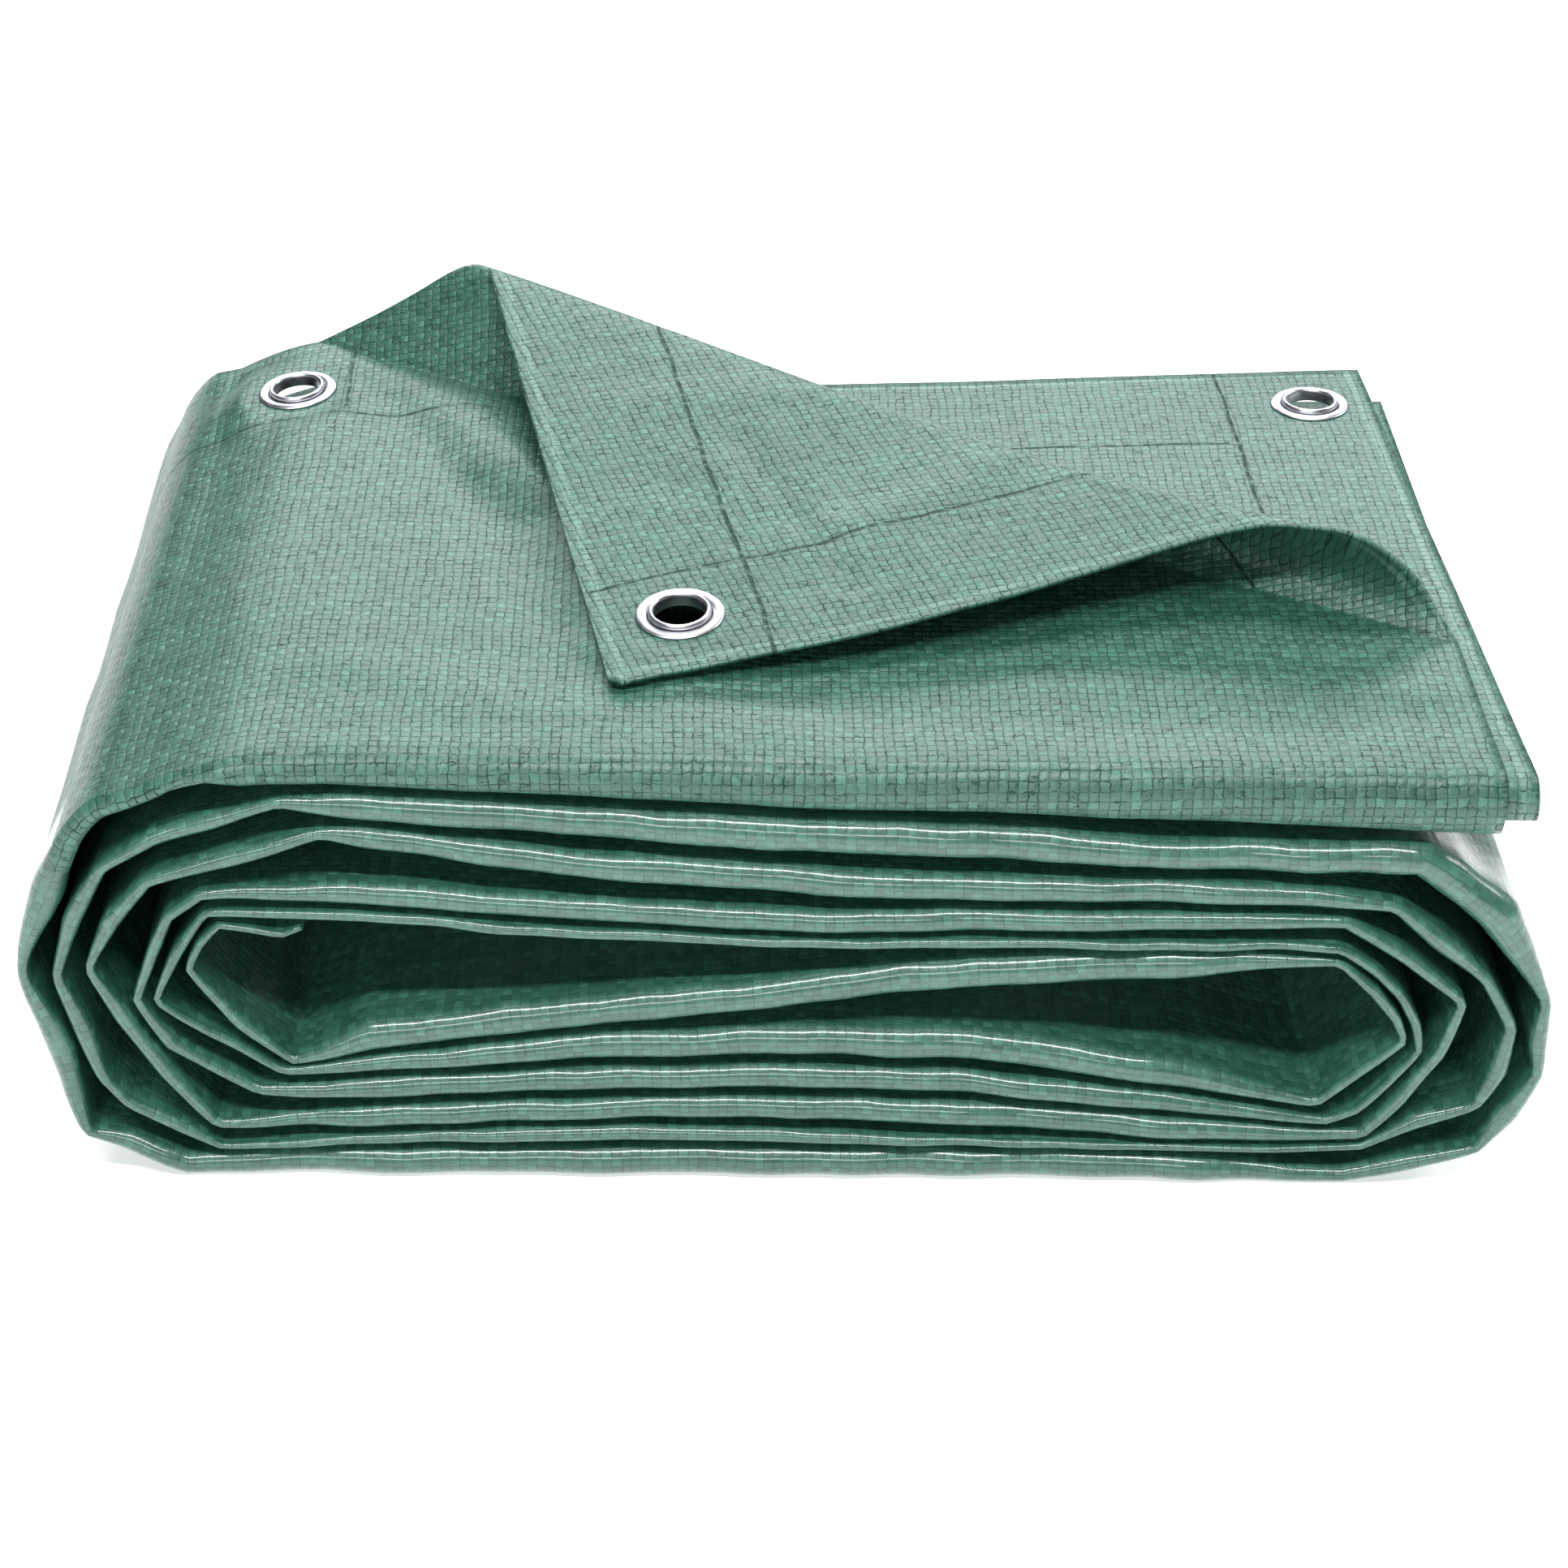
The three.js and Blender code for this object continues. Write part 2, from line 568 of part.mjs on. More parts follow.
// Frame standing on a surface: its Z is the surface's normal
function frameOn(point, along, across) {
  const z = along.clone().cross(across).normalize();
  const x = along.clone().normalize();
  return new THREE.Matrix4().makeBasis(x, z.clone().cross(x), z).setPosition(point);
}

function surfaceFrame(x, y, heightAt) {
  const step = FRAME_STEP;
  const at = (dx, dy) => new THREE.Vector3(x + dx, y + dy, heightAt(x + dx, y + dy));
  const along = at(step, 0).sub(at(-step, 0));
  const across = at(0, step).sub(at(0, -step));
  return frameOn(at(0, 0), along, across);
}

function lowerZ(x, y) {
  return lowerTopZ(x, (y - lowerFrontY(x)) / (lowerBackY(x) - lowerFrontY(x)));
}

function cornerFrame(row, across) {
  const last = TURNED_CORNER[TURNED_CORNER.length - 1];
  const before = TURNED_CORNER[TURNED_CORNER.length - 3];
  const endEdge = new THREE.Vector3(...before.end).sub(new THREE.Vector3(...last.end));
  const backEdge = new THREE.Vector3(...before.back).sub(new THREE.Vector3(...last.back));
  return frameOn(cornerPoint(row, across), endEdge, backEdge);
}

// Assembly

const frames = {
  turned: cornerFrame(EYELET_A.row, EYELET_A.across),
  back: surfaceFrame(EYELET_B.x, EYELET_B.y, upperZ),
  under: surfaceFrame(EYELET_C.x, EYELET_C.y, lowerZ),
};

const upper = toSolid(upperPly());
const turnedCut = cutHem(upper, frames.turned, HEM_BOX.turned.low, HEM_BOX.turned.high);
const backCut = cutHem(turnedCut.left, frames.back, HEM_BOX.back.low, HEM_BOX.back.high);
const lowerCut = cutHem(toSolid(lowerPly()), frames.under, HEM_BOX.under.low, HEM_BOX.under.high);

const group = new THREE.Group();

function addMesh(name, geometry, material, frame) {
  const mesh = new THREE.Mesh(geometry, material);
  mesh.name = name;
  if (frame) {
    mesh.position.setFromMatrixPosition(frame);
    mesh.quaternion.setFromRotationMatrix(frame);
  }
  group.add(mesh);
}

addMesh('wound_strip', woundStrip(), clothMaterial());
addMesh('upper_ply', fromSolid(backCut.left), clothMaterial());
addMesh('lower_ply', fromSolid(lowerCut.left), clothMaterial());
addMesh('hem_turned', fromSolid(turnedCut.hem), clothMaterial());
addMesh('hem_back', fromSolid(backCut.hem), clothMaterial());
addMesh('hem_under', fromSolid(lowerCut.hem), clothMaterial());
for (const [place, frame] of Object.entries(frames)) {
  addMesh('grommet_' + place, grommet(), metalMaterial(), frame);
  addMesh('washer_' + place, washer(), metalMaterial(), frame);
}

// The origin is the middle of the bundle's outline, on the surface it lies on
const outline = new THREE.Box3().setFromObject(group);
const centre = outline.getCenter(new THREE.Vector3());
for (const mesh of group.children) mesh.position.sub(new THREE.Vector3(centre.x, centre.y, outline.min.z));

export default group;
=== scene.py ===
import math

import bmesh
import bpy
import numpy as np
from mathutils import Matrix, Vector


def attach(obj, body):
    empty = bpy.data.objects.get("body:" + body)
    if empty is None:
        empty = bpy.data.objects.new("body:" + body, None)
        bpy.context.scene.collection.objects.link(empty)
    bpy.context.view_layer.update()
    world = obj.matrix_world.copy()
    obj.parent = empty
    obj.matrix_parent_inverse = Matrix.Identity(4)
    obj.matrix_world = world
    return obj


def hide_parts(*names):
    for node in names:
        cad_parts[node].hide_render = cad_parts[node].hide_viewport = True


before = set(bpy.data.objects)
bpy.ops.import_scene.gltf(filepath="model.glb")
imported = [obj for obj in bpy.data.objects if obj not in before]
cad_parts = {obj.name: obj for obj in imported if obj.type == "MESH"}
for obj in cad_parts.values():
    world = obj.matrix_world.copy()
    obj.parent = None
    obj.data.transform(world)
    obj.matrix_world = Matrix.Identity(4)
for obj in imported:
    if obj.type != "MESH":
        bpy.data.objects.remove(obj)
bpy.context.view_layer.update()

MM = 0.001

# The folds below are in millimetres, in the frame in which the bundle was laid out.
# The part's origin is the middle of its outline, this far away.
OUTLINE_SHIFT = np.array([-0.2, 1.282, 0.0])

# Sizes of the bundle
SHEET_THICK = 1.0
FRONT_Y = -116
FRONT_SKEW = -0.03
STRIP_DEPTH = 227
HEM_WIDTH = 40
TAPE = 2.3

# Wound strip: where its long panels are measured, and their mid heights and thicknesses there
PANEL_X = [-98, -51, -3, 44, 91]
PANELS = {
    "core": {"mid": [41, 47.5, 54, 60.5, 63.2], "thick": [8, 8.5, 8.5, 8.8, 8]},
    "under_core": {"mid": [33.5, 38, 40.6, 39.4, 32.3], "thick": [4.4, 7.6, 8.4, 9, 8.4]},
    "over_core": {"mid": [76, 71.8, 69.5, 69.5, 69.5], "thick": [2.6, 3, 2.4, 2.4, 2.4]},
    "lower_third": {"mid": [26.2, 28.8, 30.5, 28.8, 23.7], "thick": [6.2, 6.6, 6.8, 6.5, 5.8]},
    "upper_third": {"mid": [81.8, 78, 75, 75.2, 75.8], "thick": [6.2, 6.2, 6.3, 6.2, 5]},
    "lower_second": {"mid": [17.6, 20, 21.2, 19.4, 16], "thick": [6.2, 6.2, 7, 7.4, 6.8]},
    "upper_second": {"mid": [97.4, 90.4, 86.2, 84, 83.7], "thick": [5.5, 7.2, 8, 7.2, 6.4]},
    "lower_first": {"mid": [11.2, 13.2, 13, 11.7, 10.7], "thick": [3, 4.4, 4, 2.4, 2]},
    "upper_first": {"mid": [105.3, 101.8, 98.2, 96.4, 93.6], "thick": [7.4, 8.4, 9.4, 9.8, 8.2]},
    "bottom": {"mid": [3.9, 4.2, 4.4, 4.3, 4.1], "thick": [7.8, 8.4, 8.8, 8.6, 8.2]},
}

# Bends of the wound strip: each row is a crease or the middle of a facet, (x, z, thickness)
BENDS = {
    "inner_end": [(-112, 73.3, 1.2), (-117, 71, 1.6), (-124, 72.4, 1.6), (-131.5, 73.2, 1.6),
                  (-136.2, 68, 2), (-139.5, 61.5, 2), (-129, 45.5, 3.5), (-117, 34.5, 2.5)],
    "core_right": [(129.5, 64.8, 2.2), (138, 57, 2.8), (143.8, 49, 2.4), (146.3, 42.8, 1.8),
                   (141.5, 38, 2.4), (134, 31, 2.8), (127, 24.5, 2.4)],
    "core_left": [(-119.5, 31.5, 2), (-136, 42.5, 2.6), (-148, 52, 1.6), (-142, 65.5, 2.6),
                  (-134.5, 76.2, 2)],
    "third_right": [(129.5, 68.8, 2.2), (138, 62.4, 2.6), (144.6, 55.2, 2.6), (149, 46.5, 2.6),
                    (150, 39.8, 1.6), (143.5, 31, 2.2), (136.5, 22.5, 2.2), (130, 19, 2.2),
                    (110, 21.2, 4)],
    "third_left": [(-126, 25.5, 2.8), (-145.5, 39, 4), (-152.5, 52, 2), (-147.3, 66, 3),
                   (-143, 75.5, 2.6), (-135, 81.5, 2.6)],
    "second_right": [(130, 75.8, 3.4), (145.5, 65.8, 4), (159, 53.8, 2.4), (155, 39, 3),
                     (147, 25.8, 4), (138.5, 14.8, 3)],
    "second_left": [(-136.5, 16, 2.6), (-147.5, 31, 4.4), (-157, 47, 4.4), (-163, 61, 2),
                    (-156.5, 73.8, 4.4), (-147, 85.3, 3.2), (-125, 92.3, 5), (-106, 98.3, 3)],
    "first_right": [(122, 82.8, 5.2), (141, 80.3, 3), (152, 70.8, 5.2), (164, 60, 2.8),
                    (171, 47, 3), (169.5, 34, 5), (165, 23.8, 2.6), (152, 18.5, 4.4),
                    (139, 11.4, 1.8)],
    "first_left": [(-136, 9.2, 1.6), (-147, 15.5, 4), (-157.5, 21.5, 3), (-163, 29, 3),
                   (-166.5, 43, 4.4), (-170.8, 58.5, 2.4), (-165.5, 74.5, 4.4), (-157, 89.3, 3),
                   (-144.5, 96.8, 4), (-131, 101.4, 4.6), (-115, 106.8, 3)],
    "outer_right": [(118, 92.8, 8.8), (146, 92.5, 9), (165, 77.5, 10), (178.5, 54, 2.6),
                    (178, 43, 4.6), (178.8, 33.5, 2.6), (173, 20.5, 6), (166.5, 10.8, 2.6),
                    (150, 6.2, 4.6), (135, 2, 4)],
    "outer_left": [(-126, 3.5, 7), (-145, 3, 6), (-158, 9.3, 5.6), (-168.3, 12.8, 2.6),
                   (-172.3, 36, 7), (-178.7, 60, 2.4), (-171.3, 80, 7.4), (-162.5, 98, 4.4),
                   (-153.5, 105.8, 4.4)],
}

# The strip's outer end, tucked below the loose plies and short of the back eyelet
OUTER_END = [(-148, 107.4, 2.8), (-138, 111.6, 2.4), (-128, 113.9, 2.2), (-112, 114.8, 2.2)]
OUTER_END_BACK = 60

# Which panel follows each bend, and which way it is walked
WINDING = [
    ("inner_end", "core", 1), ("core_right", "under_core", -1),
    ("core_left", "over_core", 1), ("third_right", "lower_third", -1),
    ("third_left", "upper_third", 1), ("second_right", "lower_second", -1),
    ("second_left", "upper_second", 1), ("first_right", "lower_first", -1),
    ("first_left", "upper_first", 1), ("outer_right", "bottom", -1),
    ("outer_left", None, 1),
]

# Body of the strip behind its nose: distance and share of the half thickness
STRIP_BODY = [(0, 1), (16, 0.9), (STRIP_DEPTH - HEM_WIDTH - 6, 0.84),
              (STRIP_DEPTH - HEM_WIDTH, 0.97), (STRIP_DEPTH, 0.97)]
NOSE_SHARE = 1.1
NOSE_ARC = 1.05
NOSE_CLOTH = 1.65
ROW_STEP = 2.5
CREASE_SOFTNESS = 0.16
BACK_PLIES = 3
BACK_EDGE = 12

# Loose plies: mid height of the upper ply at its front edge and at the turned corner's foot
UPPER_HEIGHTS = {
    "x": [-150, -140, -128, -105, -85, -40, 0, 44, 115, 172],
    "front": [109.9, 113.8, 117.1, 118.9, 119.1, 117.7, 117, 116.5, 115.7, 115],
    "foot": [108.8, 113.1, 116.5, 116.4, 116.3, 116, 115.9, 115.6, 115.3, 115],
}

# Mid heights of the lower ply: its turned-under part at the front, and both its sides at the back
UNDER_HEIGHTS = {
    "x": [-100, -51, -3, 44, 91, 172],
    "lower": [113.3, 110, 107.5, 106.3, 104.1, 102.4],
    "lower_top_back": [114.6, 112.2, 110.1, 110, 110.6, 111.4],
    "lower_under_back": [113.3, 109.8, 107, 105.4, 102.8, 101.2],
}
UPPER_LEFT = -150
UPPER_RIGHT = 163
UPPER_BACK = 118.5
NOSE_REACH = 5.5
NOSE_FADE = {"from": -128, "to": -105, "reach": 2}
UPPER_RETURN_BACK = -72
SEAM_SHARE = 0.36

# Reach and depth of the upper ply's front fold, from the left bend to the right end
NOSE_TURN = {"x": [-172, -165, -155, -140, -136, -128, -105, 170],
             "reach": [1.4, 2.4, 2.8, 3, 2.8, 3.8, NOSE_REACH, NOSE_REACH]}
TOP_DEPTH = {"x": [-175, -165, -155, -143, -136.5, -131, -124, -112, -100, -51, -3, 44, 91, 172],
             "depth": [5.5, 4.6, 4.2, 3.4, 2, 3.6, 6.4, 7.6, 8.4, 10, 11.4, 12, 13.5, 15.8]}
SKIN = {"from_end": 68, "to_end": 45.5, "lift": 0.75, "sink": -0.7}

# The turned corner: lines across it, from the tarp's back edge to its end edge
CORNER_BACK = [(-128, 118.5, 116.5), (-111, 118.5, 125.1), (-99, 118.5, 131.9), (-90, 118.5, 137.4),
               (-84, 118.5, 139.8), (-79.3, 117, 139.6), (-77, 108, 139.2), (-71, 77, 136),
               (-63, 35, 131.8), (-54, -12, 126.8), (-45.5, -55, 122.9), (-40.5, -81.5, 120.8)]
CORNER_END = [(163, -57, 115), (159, -50, 120.5), (154, -46.5, 127), (148, -45, 132.3),
              (140.5, -44, 136.8), (131, -42, 138.6), (114, -38.5, 137.2), (90, -43, 133),
              (60, -53, 128.5), (22, -66, 124.4), (-12, -75.5, 122), (-37.4, -83.5, 120.7)]
CORNER_SAG = [0, 3, 5, 6, 6.5, 6, 4.5, 2, 0, 0, 0, 0]
SAG_SKEW = 1.6
CREST_ROW = 4.5
FLAP_ROW = 7
TOP_LEVEL = 116
RISE_ON_CLOTH = 0.8

# Hems: how far in from each edge their inner edge shows on the lying cloth, and the distance
# that stands for an edge without a hem
BACK_HEM = 48.5
PATCH_SIDE = -116
PATCH_BACK = 70
LOWER_HEM = {"back": 46, "side": 41}
NO_HEM = 1000.0

# Creases, given as (height, width, path). On the lying cloth the path is in x and y,
# on the turned corner it is measured from the tip along the two edges.
TOP_CREASES = [
    (-0.9, 8, [(-113, 92), (-103, 76), (-84, 33), (-66, 4), (-54, -50)]),
    (0.9, 22, [(-119, 66), (-98, 22), (-109, -18), (-116, -60)]),
    (-0.7, 17, [(-150, 40), (-146, -20), (-142, -55), (-144, -90)]),
    (0.7, 12, [(-104, -70), (-60, -86), (0, -96)]),
    (-0.8, 10, [(-60, -70), (20, -92), (90, -96), (150, -92)]),
    (0.6, 9, [(60, -78), (110, -72), (150, -80)]),
]
FLAP_CREASES = [
    (0.75, 7, [(128, 76), (108, 60), (82, 52), (60, 46)]),
    (0.7, 6, [(134, 58), (149, 42), (158, 31), (167, 20)]),
    (-0.8, 5, [(60, 96), (60, 60), (66, 25)]),
    (0.6, 9, [(40, 120), (80, 118), (110, 96)]),
    (-0.5, 8, [(30, 90), (48, 70), (52, 30)]),
]

# The lying cloth rises to the right of this line, into the turned corner
RISE = {"height": 6.2, "more_at_back": 4, "from": -4, "to": 19, "fade_from": -45, "fade_to": 5,
        "path": [(-122, 118), (-103, 78), (-84, 33), (-66, 4), (-56, -40), (-43, -84)]}

# The lower ply, seen at the back right
LOWER_LEFT = -60
LOWER_EDGE = {"top_front": 170.5, "top_back": 165.5, "under_front": 171, "under_back": 173}
LOWER_BACK = {"at": 101.4, "slope": 0.031}
LOWER_DROP = 1.8
LOWER_NOSE = {"inset": 1.8, "reach": 4}

# How finely the pieces are divided
LINES = {"across": 151, "lying": 61, "corner": 111, "nose": 17, "under": 12, "lower_across": 90,
         "lower_top": 70, "lower_nose": 15, "lower_under": 60, "edge": 80, "eyelet": 96}

# Eyelets
EYELET_OUTER = 10.75
EYELET_LIP = 7.6
EYELET_HOLE = 6.3
EYELET_CUT = 8.4
LIP_RISE = 1.7
PRESS = {"inner": 12.5, "outer": 19, "depth": 9}
EYELET_B = (-130.5, 88)
EYELET_C = (148.5, 83.5)
EYELET_A = {"row": 9.6, "across": 0.5}
FLAT_SEAT = {"z": 115.7, "slope_x": 0.08, "slope_y": 0.05, "inner": 12, "outer": 27}


def smooth_share(value, low, high):
    t = np.clip((value - low) / (high - low), 0, 1)
    return t * t * (3 - 2 * t)


def front_at(x):
    return FRONT_Y + FRONT_SKEW * x


def look_up(table, column, x):
    return np.interp(x, table["x"], table[column])


def curve_at(table, column, x):
    """Value of one column of a table at x, with a smooth curve between its rows."""
    knots = np.array(table["x"], float)
    inside = np.clip(np.ravel(x), knots[0], knots[-1])
    return hermite(knots, np.array(table[column], float)[:, None], inside).reshape(np.shape(x))


def crease_height(creases, u, v):
    """Height of soft ridges and troughs along the given paths."""
    total = np.zeros_like(u)
    for height, width, path in creases:
        nearest = np.full_like(u, 1e6)
        for (u0, v0), (u1, v1) in zip(path, path[1:]):
            du, dv = u1 - u0, v1 - v0
            t = np.clip(((u - u0) * du + (v - v0) * dv) / (du * du + dv * dv), 0, 1)
            nearest = np.minimum(nearest, np.hypot(u - u0 - t * du, v - v0 - t * dv))
        total = total + height * np.exp(-(nearest / width) ** 2)
    return total


def rise_height(x, y):
    """Gentle slope up into the turned corner, beside the fold's left edge."""
    path = np.array(RISE["path"], float)
    line = np.interp(y, path[::-1, 1], path[::-1, 0])
    beside = (x - line) * 0.9
    share = smooth_share(beside, RISE["from"], RISE["to"])
    fade = (1 - smooth_share(x, RISE["fade_from"], RISE["fade_to"])) * smooth_share(y, -96, -66)
    height = RISE["height"] + RISE["more_at_back"] * smooth_share(y, -30, 20)
    return height * share * fade


def hermite(knots, values, at):
    """Smooth curve through the values, at any place between the knots."""
    slopes = np.gradient(values, knots, axis=0)
    i = np.clip(np.searchsorted(knots, at, side="right") - 1, 0, len(knots) - 2)
    width = (knots[i + 1] - knots[i])[:, None]
    t = (at[:, None] - knots[i][:, None]) / width
    a, b = values[i], values[i + 1]
    va, vb = slopes[i] * width, slopes[i + 1] * width
    return ((2 * t ** 3 - 3 * t ** 2 + 1) * a + (t ** 3 - 2 * t ** 2 + t) * va
            + (-2 * t ** 3 + 3 * t ** 2) * b + (t ** 3 - t ** 2) * vb)


def ripple(u, v, length, seed, count=5):
    """Gentle unevenness between about -1 and 1, with waves of about this length."""
    rng = np.random.default_rng(seed)
    total = 0
    for _ in range(count):
        angle = rng.uniform(0, 2 * math.pi)
        wave = 2 * math.pi / (length * rng.uniform(0.6, 1.7))
        total = total + np.sin(wave * (u * math.cos(angle) + v * math.sin(angle)) + rng.uniform(0, 7))
    return total / count * 1.4


def object_from_grid(name, points, coords, close=False, flip=False, material=None, hems=None):
    """Mesh object from a grid of points in millimetres. The coords are cloth places for the weave,
    and the hems are distances from the two edges, 40 where a hem ends."""
    rows, columns = points.shape[:2]
    verts = (points.reshape(-1, 3) + OUTLINE_SHIFT) * MM
    faces = []
    last = columns if close else columns - 1
    for i in range(rows - 1):
        for j in range(last):
            k = (j + 1) % columns
            quad = (i * columns + j, i * columns + k, (i + 1) * columns + k, (i + 1) * columns + j)
            faces.append(quad[::-1] if flip else quad)
    mesh = bpy.data.meshes.new(name)
    mesh.from_pydata(verts.tolist(), [], faces)
    uv = mesh.uv_layers.new(name="weave")
    flat = coords.reshape(rows, -1, 2) * MM
    loop_places = []
    for i in range(rows - 1):
        for j in range(last):
            corners = [(i, j), (i, j + 1), (i + 1, j + 1), (i + 1, j)]
            loop_places += corners[::-1] if flip else corners
    places = np.array(loop_places)
    uv.data.foreach_set("uv", flat[places[:, 0], places[:, 1]].astype(np.float32).ravel())
    if hems is None:
        hems = np.full_like(coords, NO_HEM)
    hem = mesh.uv_layers.new(name="hem")
    flat = hems.reshape(rows, -1, 2) * MM
    hem.data.foreach_set("uv", flat[places[:, 0], places[:, 1]].astype(np.float32).ravel())
    for polygon in mesh.polygons:
        polygon.use_smooth = True
    mesh.materials.append(material)
    piece = bpy.data.objects.new(name, mesh)
    bpy.context.scene.collection.objects.link(piece)
    return piece


def join(pieces):
    """Joins pieces along the points that they share, or closes the seams of one piece."""
    mesh = bmesh.new()
    for piece in pieces:
        mesh.from_mesh(piece.data)
    bmesh.ops.remove_doubles(mesh, verts=mesh.verts, dist=0.02 * MM)
    bmesh.ops.recalc_face_normals(mesh, faces=mesh.faces)
    mesh.to_mesh(pieces[0].data)
    mesh.free()
    for piece in pieces[1:]:
        bpy.data.objects.remove(piece)
    return pieces[0]


def bake_modifiers(piece):
    graph = bpy.context.evaluated_depsgraph_get()
    solid = bpy.data.meshes.new_from_object(piece.evaluated_get(graph))
    piece.modifiers.clear()
    old = piece.data
    piece.data = solid
    bpy.data.meshes.remove(old)


def thicken(piece, thickness):
    """Gives a sheet its thickness, half to each side."""
    solid = piece.modifiers.new("thickness", "SOLIDIFY")
    solid.thickness = thickness * MM
    solid.offset = 0
    solid.use_quality_normals = True
    bake_modifiers(piece)


# Materials: colours as linear light, and lines on the cloth in metres

# deep and light bound the tape tones; warp is painted shade on the tapes that run one way; gap is painted
# shade between the tapes, and it also colours the hems' weld line
GREEN = {"deep": (0.016, 0.085, 0.056, 1), "light": (0.048, 0.185, 0.132, 1),
         "warp": (0.022, 0.1, 0.068, 1), "rim": (0.16, 0.32, 0.26, 1), "gap": (0.006, 0.02, 0.015, 1)}
METAL = {"dull": (0.5, 0.5, 0.54, 1), "bright": (0.62, 0.62, 0.66, 1)}
WELD_LINE = {"width": 0.0007, "dark": 0.7}
RIM_LINE = {"at": 0.0034, "width": 0.0013, "light": 0.35}
GLOSSY_FOLD = {"to": 0.012, "fade": 0.03, "rest": 0.08}


class Nodes:
    """Small helper that adds and joins shader nodes."""

    def __init__(self, name):
        self.material = bpy.data.materials.new(name)
        self.material.use_nodes = True
        self.tree = self.material.node_tree
        self.shader = self.tree.nodes["Principled BSDF"]

    def put(self, socket, value):
        if isinstance(value, bpy.types.NodeSocket):
            self.tree.links.new(value, socket)
        else:
            socket.default_value = value

    def math(self, operation, *values, clamp=False):
        node = self.tree.nodes.new("ShaderNodeMath")
        node.operation = operation
        node.use_clamp = clamp
        for socket, value in zip(node.inputs, values):
            self.put(socket, value)
        return node.outputs[0]

    def mix(self, share, a, b):
        node = self.tree.nodes.new("ShaderNodeMix")
        node.data_type = "RGBA"
        self.put(node.inputs[0], share)
        self.put(node.inputs[6], a)
        self.put(node.inputs[7], b)
        return node.outputs[2]

    def blend(self, share, a, b):
        node = self.tree.nodes.new("ShaderNodeMix")
        node.data_type = "FLOAT"
        self.put(node.inputs[0], share)
        self.put(node.inputs[2], a)
        self.put(node.inputs[3], b)
        return node.outputs[0]

    def noise(self, vector, scale, detail=3.0, roughness=0.5):
        node = self.tree.nodes.new("ShaderNodeTexNoise")
        self.put(node.inputs["Vector"], vector)
        node.inputs["Scale"].default_value = scale
        node.inputs["Detail"].default_value = detail
        node.inputs["Roughness"].default_value = roughness
        return node.outputs["Fac"]

    def stretch(self, vector, x, y):
        node = self.tree.nodes.new("ShaderNodeMapping")
        self.put(node.inputs["Vector"], vector)
        node.inputs["Scale"].default_value = (x, y, 1)
        return node.outputs[0]

    def random(self, x, y):
        combine = self.tree.nodes.new("ShaderNodeCombineXYZ")
        self.put(combine.inputs[0], x)
        self.put(combine.inputs[1], y)
        node = self.tree.nodes.new("ShaderNodeTexWhiteNoise")
        node.noise_dimensions = "3D"
        self.tree.links.new(combine.outputs[0], node.inputs["Vector"])
        return node.outputs["Value"]

    def steps(self, value, low, high, to_low=0.0, to_high=1.0):
        node = self.tree.nodes.new("ShaderNodeMapRange")
        node.interpolation_type = "SMOOTHSTEP"
        for socket, item in zip(node.inputs, (value, low, high, to_low, to_high)):
            self.put(socket, item)
        return node.outputs[0]

    def uv(self, name):
        node = self.tree.nodes.new("ShaderNodeUVMap")
        node.uv_map = name
        return node.outputs[0]

    def split(self, vector):
        node = self.tree.nodes.new("ShaderNodeSeparateXYZ")
        self.put(node.inputs[0], vector)
        return node.outputs[0], node.outputs[1]

    def bump(self, height, distance, strength, normal=None):
        node = self.tree.nodes.new("ShaderNodeBump")
        self.put(node.inputs["Height"], height)
        node.inputs["Distance"].default_value = distance
        node.inputs["Strength"].default_value = strength
        if normal:
            self.put(node.inputs["Normal"], normal)
        return node.outputs[0]


